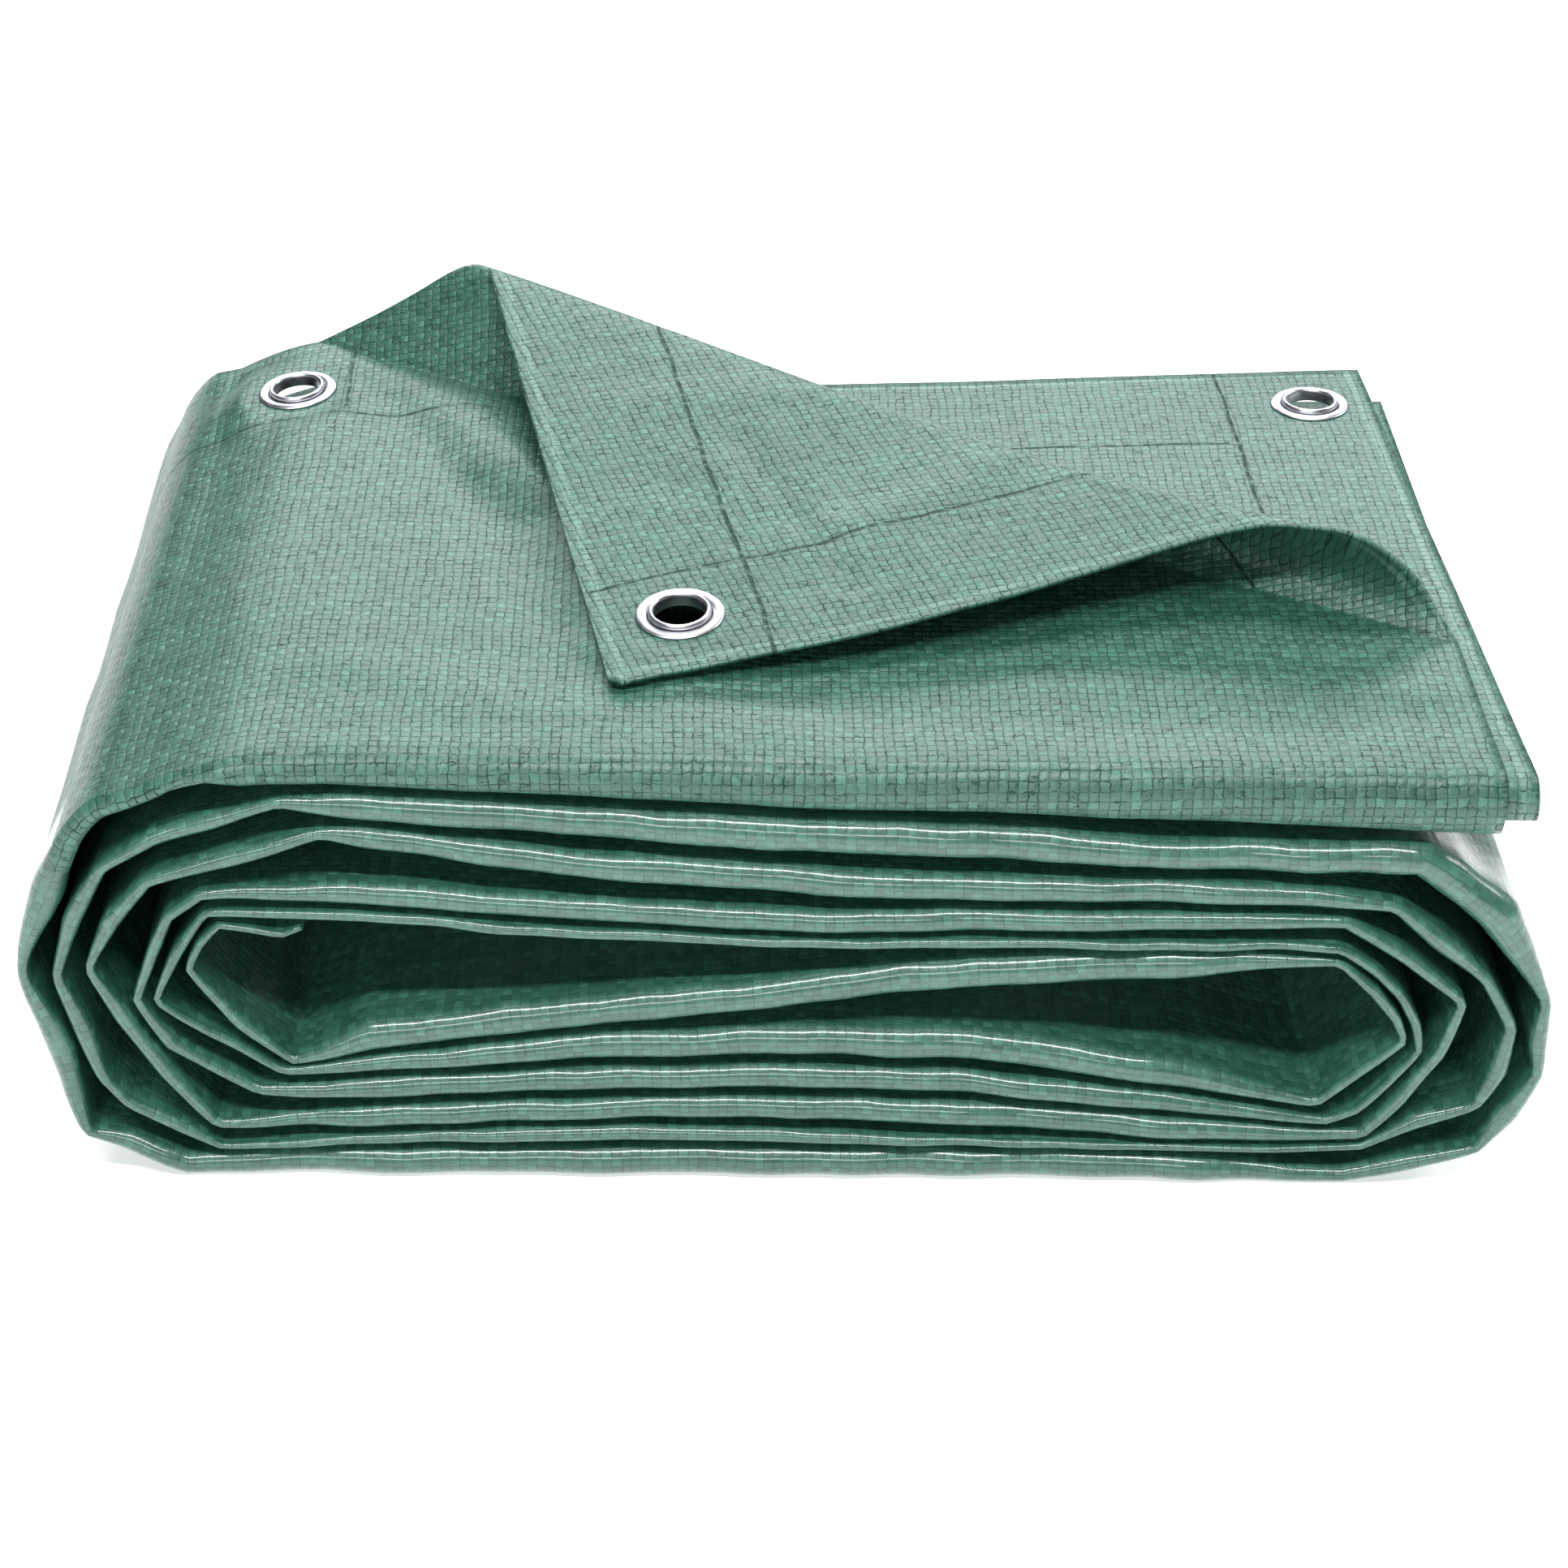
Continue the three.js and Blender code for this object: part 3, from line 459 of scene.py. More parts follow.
def weave_nodes(n, place):
    """Plain weave of flat tapes: height, painted shade in the gaps between tapes, which tape is on top,
    tape tones.
    """
    across, along = n.split(place)
    wander = n.math("MULTIPLY", n.math("SUBTRACT", n.noise(place, 70, 3), 0.5), 0.8)
    jitter = n.math("MULTIPLY", n.math("SUBTRACT", n.noise(place, 700, 2), 0.5), 0.5)
    u = n.math("ADD", n.math("DIVIDE", across, TAPE * MM), n.math("ADD", wander, jitter))
    v = n.math("ADD", n.math("DIVIDE", along, TAPE * MM), n.math("SUBTRACT", wander, jitter))
    cell_u, cell_v = n.math("FLOOR", u), n.math("FLOOR", v)
    part_u, part_v = n.math("FRACT", u), n.math("FRACT", v)
    warp_on_top = n.math("MODULO", n.math("ABSOLUTE", n.math("ADD", cell_u, cell_v)), 2.0)
    from_u = n.math("ABSOLUTE", n.math("SUBTRACT", n.math("MULTIPLY", part_u, 2.0), 1.0))
    from_v = n.math("ABSOLUTE", n.math("SUBTRACT", n.math("MULTIPLY", part_v, 2.0), 1.0))
    arch_u = n.math("SINE", n.math("MULTIPLY", part_u, math.pi))
    arch_v = n.math("SINE", n.math("MULTIPLY", part_v, math.pi))
    flat_u = n.math("SUBTRACT", 1.0, n.math("POWER", from_u, 7.0))
    flat_v = n.math("SUBTRACT", 1.0, n.math("POWER", from_v, 7.0))
    warp = n.math("MULTIPLY", flat_u, n.math("POWER", arch_v, 0.6))
    weft = n.math("MULTIPLY", flat_v, n.math("POWER", arch_u, 0.6))
    height = n.blend(warp_on_top, weft, warp)
    side = n.math("MAXIMUM", n.blend(warp_on_top, from_v, from_u),
                  n.math("MULTIPLY", n.math("MAXIMUM", from_u, from_v), 0.93))
    cell = n.random(cell_u, cell_v)
    # Patches where the painted shade in the gaps between the tapes is deep, and where it is faint
    wear_and_gap_shade = n.steps(n.noise(place, 260, 3, 0.6), 0.4, 0.6)
    start = n.blend(cell, 0.66, 0.86)
    # Painted shade in the gaps between the tapes, along the edges of each tape
    gap = n.math("MULTIPLY", n.steps(side, start, 0.99), n.blend(wear_and_gap_shade, 0.25, 1.0))
    tape = n.blend(warp_on_top, n.random(cell_v, 3.7), n.random(cell_u, 9.1))
    flat = n.stretch(place, 0.45, 1.0)
    # Painted shade in short, irregular cracks between the tapes
    crack_shade = n.math("MULTIPLY", n.steps(n.noise(flat, 760, 4, 0.65), 0.53, 0.68), wear_and_gap_shade)
    gap = n.math("MAXIMUM", gap, n.math("MULTIPLY", crack_shade, 0.75))
    return height, gap, warp_on_top, cell, tape


def line_nodes(n, value, place, width):
    """One along a line where the value is near the place, fading over the width."""
    away = n.math("ABSOLUTE", n.math("SUBTRACT", value, place))
    return n.steps(away, width * 0.35, width, 1.0, 0.0)


def cloth_material(name, gap_shade_strength, roundness, gloss, coat_rough, only_folds=False):
    """Woven laminate with painted shade in the gaps between its tapes; only_folds keeps its gloss to the
    folds.
    """
    n = Nodes(name)
    place = n.uv("weave")
    height, gap, warp_on_top, cell, tape = weave_nodes(n, place)
    edge_a, edge_b = n.split(n.uv("hem"))
    shift = n.math("MULTIPLY", n.math("SUBTRACT", n.noise(place, 35, 3), 0.5), 0.0035)
    inner_a, inner_b = n.math("ADD", edge_a, shift), n.math("ADD", edge_b, shift)
    weld = n.math("MAXIMUM", line_nodes(n, inner_a, HEM_WIDTH * MM, WELD_LINE["width"]),
                  line_nodes(n, inner_b, HEM_WIDTH * MM, WELD_LINE["width"]))
    weld = n.math("MULTIPLY", weld, n.steps(n.noise(place, 320, 3), 0.3, 0.55))
    rim = n.math("MAXIMUM", line_nodes(n, edge_a, RIM_LINE["at"], RIM_LINE["width"]),
                 line_nodes(n, edge_b, RIM_LINE["at"], RIM_LINE["width"]))
    doubled = n.steps(n.math("MINIMUM", inner_a, inner_b), 0.0402, 0.0395)
    broad = n.noise(place, 16, 4, 0.6)
    fine = n.noise(place, 1100, 2, 0.6)
    tone = n.math("ADD", n.math("MULTIPLY", cell, 0.3), n.math("MULTIPLY", tape, 0.3))
    tone = n.math("ADD", tone, n.math("MULTIPLY", broad, 0.5))
    green = n.mix(n.steps(tone, 0.3, 0.95), GREEN["deep"], GREEN["light"])
    # Tapes of one direction painted darker: painted shade standing in for the sheen that differs with the
    # tape's direction
    green = n.mix(n.math("MULTIPLY", warp_on_top, 0.4), green, GREEN["warp"])
    green = n.mix(n.math("MULTIPLY", rim, RIM_LINE["light"]), green, GREEN["rim"])
    # Painted shade in the gaps between the tapes, together with the weld line of the hems, which is dark
    # itself
    dark = n.math("MAXIMUM", n.math("MULTIPLY", gap, gap_shade_strength),
                  n.math("MULTIPLY", weld, WELD_LINE["dark"]))
    green = n.mix(dark, green, GREEN["gap"])
    n.put(n.shader.inputs["Base Color"], green)
    rough = n.math("ADD", n.blend(warp_on_top, 0.4, 0.46), n.math("MULTIPLY", cell, 0.1))
    n.put(n.shader.inputs["Roughness"], n.math("ADD", rough, n.math("MULTIPLY", dark, 0.3)))
    n.shader.inputs["IOR"].default_value = 1.5
    n.put(n.shader.inputs["Specular IOR Level"], n.blend(dark, 0.65, 0.05))
    coat = n.math("MULTIPLY", n.math("SUBTRACT", 1.0, dark), gloss)
    if only_folds:
        from_fold = n.math("ABSOLUTE", n.split(place)[1])
        coat = n.math("MULTIPLY", coat, n.steps(from_fold, GLOSSY_FOLD["to"], GLOSSY_FOLD["fade"], 1.0,
                                               GLOSSY_FOLD["rest"]))
    n.put(n.shader.inputs["Coat Weight"], coat)
    n.shader.inputs["Coat Roughness"].default_value = coat_rough
    uneven = n.math("MULTIPLY", height, n.math("ADD", 0.5, n.math("MULTIPLY", cell, 0.6)))
    raised = n.math("ADD", uneven, n.math("MULTIPLY", fine, 0.15))
    raised = n.math("ADD", raised, n.math("MULTIPLY", doubled, 1.6))
    raised = n.math("SUBTRACT", raised, n.math("MULTIPLY", weld, 1.2))
    weave = n.bump(raised, 0.00032 * roundness, 1.0)
    crumple = n.bump(n.noise(place, 170, 4, 0.6), 0.0011 * roundness, 0.7, weave)
    n.put(n.shader.inputs["Normal"], n.bump(n.noise(place, 42, 4, 0.6), 0.0016, 0.5, crumple))
    return n.material


def metal_material():
    n = Nodes("eyelet aluminium")
    where = n.tree.nodes.new("ShaderNodeTexCoord").outputs["Object"]
    wear_and_gap_shade = n.noise(where, 300, 4, 0.6)
    n.put(n.shader.inputs["Base Color"], n.mix(wear_and_gap_shade, METAL["dull"], METAL["bright"]))
    n.shader.inputs["Metallic"].default_value = 1
    n.put(n.shader.inputs["Roughness"], n.steps(wear_and_gap_shade, 0.3, 0.75, 0.3, 0.42))
    n.put(n.shader.inputs["Normal"], n.bump(n.noise(where, 500, 3, 0.5), 0.00004, 0.25))
    return n.material


# The wound strip

def strip_rows():
    rows = []
    for bend, panel, way in WINDING:
        rows += [(x, z, thick, 0) for x, z, thick in BENDS[bend]]
        if panel:
            mid, thick = PANELS[panel]["mid"], PANELS[panel]["thick"]
            rows += [(x, mid[i], thick[i], 0) for i, x in enumerate(PANEL_X)][::way]
    end_cut = UPPER_BACK - OUTER_END_BACK
    rows += [(x, z, thick, end_cut) for x, z, thick in OUTER_END]
    return np.array(rows, float)


def fine_strip_rows():
    """Rows every few millimetres along the strip, with its creases a little softened."""
    rows = strip_rows()
    lengths = np.hypot(*np.diff(rows[:, :2], axis=0).T)
    knots = np.concatenate([[0], np.cumsum(lengths)])
    at = np.linspace(0, knots[-1], int(knots[-1] / ROW_STEP))
    straight = np.stack([np.interp(at, knots, rows[:, k]) for k in range(4)], axis=1)
    soft = hermite(knots, rows, at)
    rounding = smooth_share(at, knots[-1] - 125, knots[-1] - 85)[:, None]
    fine = straight + (CREASE_SOFTNESS + (0.95 - CREASE_SOFTNESS) * rounding) * (soft - straight)
    fine[:, 3] = straight[:, 3]
    return at, fine


def strip_profile():
    """Outer side from nose to back. Each point is its setback as a share of the half thickness,
    its distance from the nose, its height share, and its cloth length in half thicknesses."""
    nose = []
    for angle in np.linspace(0, math.pi / 2, 11):
        nose.append((NOSE_SHARE * (1 - math.cos(angle)), 0, math.sin(angle), angle * NOSE_ARC))
    body = []
    distances = np.concatenate([np.linspace(4, 28, 4), np.linspace(45, STRIP_DEPTH - BACK_EDGE, 11)])
    table = np.array(STRIP_BODY)
    for distance in distances:
        body.append((NOSE_SHARE, distance, np.interp(distance, table[:, 0], table[:, 1]), NOSE_CLOTH))
    return nose + body


def back_plies():
    """Rounded ply edges down the strip's back, from its outer side to its inner side."""
    points = []
    size = 1 / BACK_PLIES
    for ply in range(BACK_PLIES):
        centre = 1 - size * (2 * ply + 1)
        for angle in np.linspace(80, -80, 5):
            a = math.radians(angle)
            points.append((math.cos(a) - 1, ply, (centre + size * 0.93 * math.sin(a)) * 0.97))
    return points


def wound_strip(material):
    at, rows = fine_strip_rows()
    x, z, thick, back = rows.T
    half = thick / 2 * (1 + 0.06 * ripple(at, at * 0, 26, 9) + 0.05 * ripple(at, at * 0, 10, 10))
    tangent = np.gradient(rows[:, :2], at, axis=0)
    tangent /= np.linalg.norm(tangent, axis=1)[:, None]
    normal = np.stack([-tangent[:, 1], tangent[:, 0]], axis=1)
    reach = (STRIP_DEPTH - back) / STRIP_DEPTH
    front = front_at(x) + 0.5 * ripple(at, at * 0, 60, 3) + 0.35 * ripple(at, at * 0, 17, 4)
    profile = strip_profile()
    plies = back_plies()
    rng = np.random.default_rng(5)
    ply_reach = [2.2 * ripple(at, at * 0, 90, 20 + k) + rng.uniform(-1.5, 1.5) for k in range(BACK_PLIES)]
    rings, cloth = [], []

    def add(y, rise, length):
        rings.append(np.stack([x + normal[:, 0] * rise, y, z + normal[:, 1] * rise], axis=1))
        cloth.append(np.stack([at, length], axis=1))

    def side(points, sign):
        for share, distance, height, length in points:
            y = front + share * half + distance * reach
            wave = 0.0 if distance == 0 else 0.12 * ripple(at, distance + at * 0, 30, 8)
            rise = sign * height * half * (1 + wave * np.minimum(distance / 30, 1))
            add(y, rise, sign * (length * half + distance * reach))

    side(profile, 1)
    for lobe, ply, height in plies:
        y = front + NOSE_SHARE * half + (STRIP_DEPTH - 2) * reach + ply_reach[ply] + lobe * half * 0.6
        add(y, height * half, np.full_like(at, STRIP_DEPTH - height * 3))
    side(profile[:0:-1], -1)
    grid = np.stack(rings, axis=1)
    on_floor = grid[:, :, 2] < 0.05
    grid[on_floor, 2] = 0.05
    coords = np.stack(cloth, axis=1)
    piece = object_from_grid("strip_cloth", grid, np.concatenate([coords, coords[:, :1]], axis=1),
                             close=True, material=material)
    cap_ends(piece, grid.shape[0], grid.shape[1])
    return piece


def cap_ends(piece, rings, size):
    mesh = bmesh.new()
    mesh.from_mesh(piece.data)
    mesh.verts.ensure_lookup_table()
    for start in (0, (rings - 1) * size):
        loop = [mesh.verts[start + k] for k in range(size)]
        mesh.faces.new(loop if start else loop[::-1])
    bmesh.ops.recalc_face_normals(mesh, faces=mesh.faces)
    mesh.to_mesh(piece.data)
    mesh.free()


# The upper ply

def upper_front_y(x):
    share = np.clip((x - NOSE_FADE["from"]) / (NOSE_FADE["to"] - NOSE_FADE["from"]), 0, 1)
    return front_at(x) + NOSE_FADE["reach"] + share * (NOSE_REACH - NOSE_FADE["reach"])


def foot_y(x):
    (x0, y0, _), (x1, y1, _) = CORNER_BACK[0], CORNER_END[0]
    return y0 + (np.maximum(x, x0) - x0) / (x1 - x0) * (y1 - y0)


def upper_z(x, y):
    share = np.clip((y - upper_front_y(x)) / (foot_y(x) - upper_front_y(x)), 0, 1)
    front = curve_at(UPPER_HEIGHTS, "front", x)
    level = front + (curve_at(UPPER_HEIGHTS, "foot", x) - front) * share
    dx, dy = x - EYELET_B[0], y - EYELET_B[1]
    seat = FLAT_SEAT["z"] + FLAT_SEAT["slope_x"] * dx + FLAT_SEAT["slope_y"] * dy
    away = smooth_share(np.hypot(dx, dy), FLAT_SEAT["inner"], FLAT_SEAT["outer"])
    return seat + (level - seat) * away


def corner_point(row, across):
    """Points of the turned corner; row counts along the tables, across runs from 0 to 1."""
    knots = np.arange(len(CORNER_BACK), dtype=float)
    back = hermite(knots, np.array(CORNER_BACK, float), row)
    end = hermite(knots, np.array(CORNER_END, float), row)
    point = back + (end - back) * across[:, None]
    sag = np.interp(row, knots, CORNER_SAG)
    point[:, 2] -= sag * np.sin(math.pi * across ** SAG_SKEW)
    return point


def corner_cloth(points, row):
    """Place on the cloth: along and across the tarp's edges on the turned part."""
    if row < CREST_ROW:
        return np.stack([points[:, 0], points[:, 1] + (points[:, 2] - TOP_LEVEL) * RISE_ON_CLOTH], axis=1)
    tip = (np.array(CORNER_BACK[-1]) + np.array(CORNER_END[-1])) / 2
    away = points - tip
    ways = [np.array(edge[FLAP_ROW]) - tip for edge in (CORNER_END, CORNER_BACK)]
    return np.stack([away @ (way / np.linalg.norm(way)) for way in ways], axis=1)


def lying_grid(t):
    """Lines from the ply's left seam and front edge to the foot of the turned corner."""
    left = np.clip(t / SEAM_SHARE, 0, 1)
    right = np.clip((t - SEAM_SHARE) / (1 - SEAM_SHARE), 0, 1)
    x_out = UPPER_LEFT + (UPPER_RIGHT - UPPER_LEFT) * right
    y_left = UPPER_BACK + (upper_front_y(UPPER_LEFT) - UPPER_BACK) * left
    y_out = np.where(t < SEAM_SHARE, y_left, upper_front_y(x_out))
    start, end = np.array(CORNER_BACK[0]), np.array(CORNER_END[0])
    foot = start + (end - start) * t[:, None]
    rows, cloth = [], []
    for step in np.linspace(0, 1, LINES["lying"])[:-1]:
        x = x_out + (foot[:, 0] - x_out) * step
        y = y_out + (foot[:, 1] - y_out) * step
        rows.append(np.stack([x, y, upper_z(x, y)], axis=1))
        cloth.append(np.stack([x, y], axis=1))
    return rows, cloth


def bend_skin(seam):
    """The ply goes on over the left bend and ends flush in the strip's outer side."""
    at, rows = fine_strip_rows()
    x, z, thick, _ = rows.T
    first = np.searchsorted(at, at[-1] - SKIN["from_end"])
    last = np.searchsorted(at, at[-1] - SKIN["to_end"])
    tangent = np.gradient(rows[:, :2], at, axis=0)
    tangent /= np.linalg.norm(tangent, axis=1)[:, None]
    table = np.array(STRIP_BODY)
    lines, cloth = [seam], [seam[:, :2]]
    picks = np.arange(last, first, -1)
    for count, i in enumerate(picks):
        down = count / (len(picks) - 1)
        distance = seam[:, 1] - front_at(x[i])
        share = np.interp(distance, table[:, 0], table[:, 1])
        lift = SKIN["lift"] + (SKIN["sink"] - SKIN["lift"]) * smooth_share(down, 0.3, 1)
        rise = share * thick[i] / 2 + lift
        nx, nz = -tangent[i, 1], tangent[i, 0]
        line = np.stack([x[i] + nx * rise, seam[:, 1], z[i] + nz * rise], axis=1)
        lines.append(line)
        gone = cloth[-1][:, 0] - np.linalg.norm((line - lines[-2])[:, [0, 2]], axis=1)
        cloth.append(np.stack([gone, seam[:, 1]], axis=1))
    return lines, cloth


def turned_front(edge, cloth, under, back_y):
    """Half an ellipse round the front of a ply, then a run back below."""
    reach = np.interp(edge[:, 0], NOSE_TURN["x"], NOSE_TURN["reach"])
    depth = np.interp(edge[:, 0], under[0], under[1])
    inward = np.zeros_like(edge)
    slope = np.gradient(edge[:, 2]) / np.gradient(edge[:, 0])
    inward[:, 0], inward[:, 2] = slope, -1
    inward /= np.linalg.norm(inward, axis=1)[:, None]
    rows, places, gone = [edge], [cloth], np.zeros(len(edge))
    for angle in np.linspace(0, math.pi, LINES["nose"])[1:]:
        point = edge + inward * (depth * (1 - math.cos(angle)) / 2)[:, None]
        point[:, 1] = edge[:, 1] - reach * math.sin(angle)
        gone = gone + np.linalg.norm(point - rows[-1], axis=1)
        rows.append(point)
        places.append(np.stack([cloth[:, 0], cloth[:, 1] - gone], axis=1))
    start = rows[-1]
    for step in np.linspace(0, 1, LINES["under"])[1:]:
        point = start.copy()
        point[:, 1] = start[:, 1] + (back_y - start[:, 1]) * step
        rows.append(point)
        places.append(np.stack([cloth[:, 0], cloth[:, 1] - gone - (point - start)[:, 1]], axis=1))
    return rows, places


def relief(points):
    """Soft unevenness of the lying cloth."""
    x, y = points[..., 0], points[..., 1]
    return 0.5 * ripple(x, y, 95, 31) + 0.25 * ripple(x, y, 38, 32) + 0.08 * ripple(x, y, 14, 33)


def top_hems(points):
    """Distances from the edges on the lying cloth: the back hem and the patch round the eyelet."""
    x, y = points[..., 0], points[..., 1]
    across = (UPPER_BACK - y) / BACK_HEM * HEM_WIDTH
    along = HEM_WIDTH + (x - PATCH_SIDE) + 10 * np.maximum(PATCH_BACK - y, 0)
    return np.stack([along, across], axis=-1)


def flap_hems(places):
    """Distances from the two edges of the turned corner."""
    rows = np.linspace(CREST_ROW, len(CORNER_BACK) - 1, LINES["edge"])
    edges = []
    for side, along, across in ((1.0, 0, 1), (0.0, 1, 0)):
        edge = np.concatenate([corner_cloth(corner_point(np.array([r]), np.array([side])), r)
                               for r in rows])
        order = np.argsort(edge[:, along])
        bow = np.interp(places[..., along], edge[order, along], edge[order, across])
        edges.append(places[..., across] - bow)
    return np.stack(edges, axis=-1)


def upper_ply(material):
    t = np.linspace(0, 1, LINES["across"])
    rows, cloth = lying_grid(t)
    lying = len(rows)
    front, seam = t > SEAM_SHARE - 0.001, t < SEAM_SHARE + 0.001
    hems = [top_hems(row) for row in rows]
    lengths = np.linalg.norm(np.diff(np.array(CORNER_BACK, float), axis=0), axis=1)
    to_tip = np.append(np.cumsum(lengths[::-1])[::-1], 0)
    for row in np.linspace(0, len(CORNER_BACK) - 1, LINES["corner"]):
        points = corner_point(np.full_like(t, row), t)
        places = corner_cloth(points, row)
        if row >= CREST_ROW:
            lift = crease_height(FLAP_CREASES, places[:, 0], places[:, 1])
            lift = lift + 0.25 * ripple(places[:, 0], places[:, 1], 34, 35)
            lift = lift + 0.5 * ripple(places[:, 0], places[:, 1], 90, 36)
            points[:, 2] += lift * smooth_share(row, CREST_ROW, CREST_ROW + 1.2)
            hems.append(flap_hems(places))
        else:
            end_hem = (1 - t) * np.interp(row, np.arange(len(to_tip)), to_tip)
            hems.append(np.stack([end_hem, np.full_like(t, NO_HEM)], axis=-1))
        rows.append(points)
        cloth.append(places)
    grid, places, hems = np.stack(rows), np.stack(cloth), np.stack(hems)
    x, y = grid[:lying, :, 0], grid[:lying, :, 1]
    waves = relief(grid[:lying]) + crease_height(TOP_CREASES, x, y) + rise_height(x, y)
    grid[:lying, :, 2] += waves * (1 - np.linspace(0, 1, lying)[:, None] ** 3)
    main = object_from_grid("upper_cloth", grid, places, flip=True, material=material, hems=hems)
    skin_rows, skin_cloth = bend_skin(grid[0][seam])
    skin = object_from_grid("skin", np.stack(skin_rows), np.stack(skin_cloth), material=material,
                            hems=top_hems(np.stack(skin_rows)))
    edge = np.concatenate([np.stack([row[-1] for row in skin_rows])[:0:-1], grid[0][front]])
    edge_cloth = np.concatenate([np.stack([c[-1] for c in skin_cloth])[:0:-1], places[0][front]])
    under = (TOP_DEPTH["x"], TOP_DEPTH["depth"])
    nose_rows, nose_cloth = turned_front(edge, edge_cloth, under, UPPER_RETURN_BACK)
    nose = object_from_grid("nose", np.stack(nose_rows), np.stack(nose_cloth), material=material)
    return join([main, skin, nose])


# The lower ply

def lower_front_y(x):
    return front_at(x) + LOWER_NOSE["inset"] + LOWER_NOSE["reach"]


def lower_back_y(x):
    return LOWER_BACK["at"] + LOWER_BACK["slope"] * x


def lower_top_z(x, share):
    front = curve_at(UPPER_HEIGHTS, "front", x) - LOWER_DROP
    return front + (look_up(UNDER_HEIGHTS, "lower_top_back", x) - front) * share


def lower_under_z(x, share):
    front = look_up(UNDER_HEIGHTS, "lower", x)
    return front + (look_up(UNDER_HEIGHTS, "lower_under_back", x) - front) * share


def lower_line(share, front_right, back_right, height_at):
    right = front_right + (back_right - front_right) * share
    x = np.linspace(LOWER_LEFT, right, LINES["lower_across"])
    y = lower_front_y(x) + (lower_back_y(x) - lower_front_y(x)) * share
    return np.stack([x, y, height_at(x, share)], axis=1)


def lower_ply(material):
    edge = LOWER_EDGE
    top = [lower_line(s, edge["top_front"], edge["top_back"], lower_top_z)
           for s in np.linspace(1, 0, LINES["lower_top"])]
    rows = list(top)
    front, below = top[-1], lower_line(0, edge["under_front"], edge["under_back"], lower_under_z)
    for angle in np.linspace(0, math.pi, LINES["lower_nose"])[1:-1]:
        share = (1 - math.cos(angle)) / 2
        point = front + (below - front) * share
        point[:, 1] -= LOWER_NOSE["reach"] * math.sin(angle)
        rows.append(point)
    rows += [lower_line(s, edge["under_front"], edge["under_back"], lower_under_z)
             for s in np.linspace(0, 1, LINES["lower_under"])]
    grid = np.stack(rows)
    lying = LINES["lower_top"]
    grid[:lying, :, 2] += 0.5 * relief(grid[:lying])
    gone = np.concatenate([[0], np.cumsum(np.linalg.norm(np.diff(grid.mean(axis=1), axis=0), axis=1))])
    places = np.stack([grid[:, :, 0], np.repeat(-gone[:, None], grid.shape[1], axis=1)], axis=2)
    side = (grid[:, -1:, 0] - grid[:, :, 0]) / LOWER_HEM["side"] * HEM_WIDTH
    back = (lower_back_y(grid[:, :, 0]) - grid[:, :, 1]) / LOWER_HEM["back"] * HEM_WIDTH
    back[lying:] = NO_HEM
    back[side < HEM_WIDTH] = NO_HEM
    return object_from_grid("lower_cloth", grid, places, flip=True, material=material,
                            hems=np.stack([side, back], axis=-1))


# Eyelets

def frame_on(point, along, across):
    z = np.cross(along, across)
    z /= np.linalg.norm(z)
    x = along / np.linalg.norm(along)
    return np.array(point, float), np.stack([x, np.cross(z, x), z])


def surface_frame(x, y, height_at):
    step = 4

    def at(dx, dy):
        return np.array([x + dx, y + dy, float(height_at(x + dx, y + dy))])
    return frame_on(at(0, 0), at(step, 0) - at(-step, 0), at(0, step) - at(0, -step))


def lower_z(x, y):
    return lower_top_z(x, (y - lower_front_y(x)) / (lower_back_y(x) - lower_front_y(x)))


def corner_frame(row, across):
    point = corner_point(np.array([float(row)]), np.array([float(across)]))[0]
    end_way = np.array(CORNER_END[-3]) - np.array(CORNER_END[-1])
    back_way = np.array(CORNER_BACK[-3]) - np.array(CORNER_BACK[-1])
    return frame_on(point, end_way.astype(float), back_way.astype(float))


def fit_eyelet(piece, spot):
    """Presses the cloth flat round an eyelet and opens a round hole in it."""
    centre, ways = spot
    mesh = bmesh.new()
    mesh.from_mesh(piece.data)
    places = (np.array([v.co[:] for v in mesh.verts]) / MM - OUTLINE_SHIFT - centre) @ ways.T
    radius = np.hypot(places[:, 0], places[:, 1])
    near = (radius < PRESS["outer"]) & (np.abs(places[:, 2]) < PRESS["depth"])
    flat = 1 - smooth_share(radius, PRESS["inner"], PRESS["outer"])
    places[near, 2] *= 1 - flat[near]
    inside = near & (radius < EYELET_CUT)
    places[inside, :2] *= (EYELET_CUT / np.maximum(radius[inside], 0.01))[:, None]
    moved = (places @ ways + centre + OUTLINE_SHIFT) * MM
    for vertex in mesh.verts:
        if near[vertex.index]:
            vertex.co = moved[vertex.index]
    gone = [f for f in mesh.faces if all(inside[v.index] for v in f.verts)]
    bmesh.ops.delete(mesh, geom=gone, context="FACES")
    mesh.to_mesh(piece.data)
    mesh.free()


def lathe(name, profile, spot, material):
    centre, ways = spot
    turns = np.linspace(0, 2 * math.pi, LINES["eyelet"], endpoint=False)
    rings = []
    for r, z in profile:
        local = np.stack([r * np.cos(turns), r * np.sin(turns), np.full_like(turns, z)], axis=1)
        rings.append(local @ ways + centre)
    rings.append(rings[0])
    grid = np.stack(rings)
    arc = np.concatenate([[0], np.cumsum(np.hypot(*np.diff(np.array(profile + profile[:1]), axis=0).T))])
    angle = np.concatenate([turns, [2 * math.pi]]) * EYELET_OUTER
    places = np.stack(np.meshgrid(arc, angle, indexing="ij"), axis=2)
    piece = object_from_grid(name, grid, places, close=True, material=material)
    return join([piece])


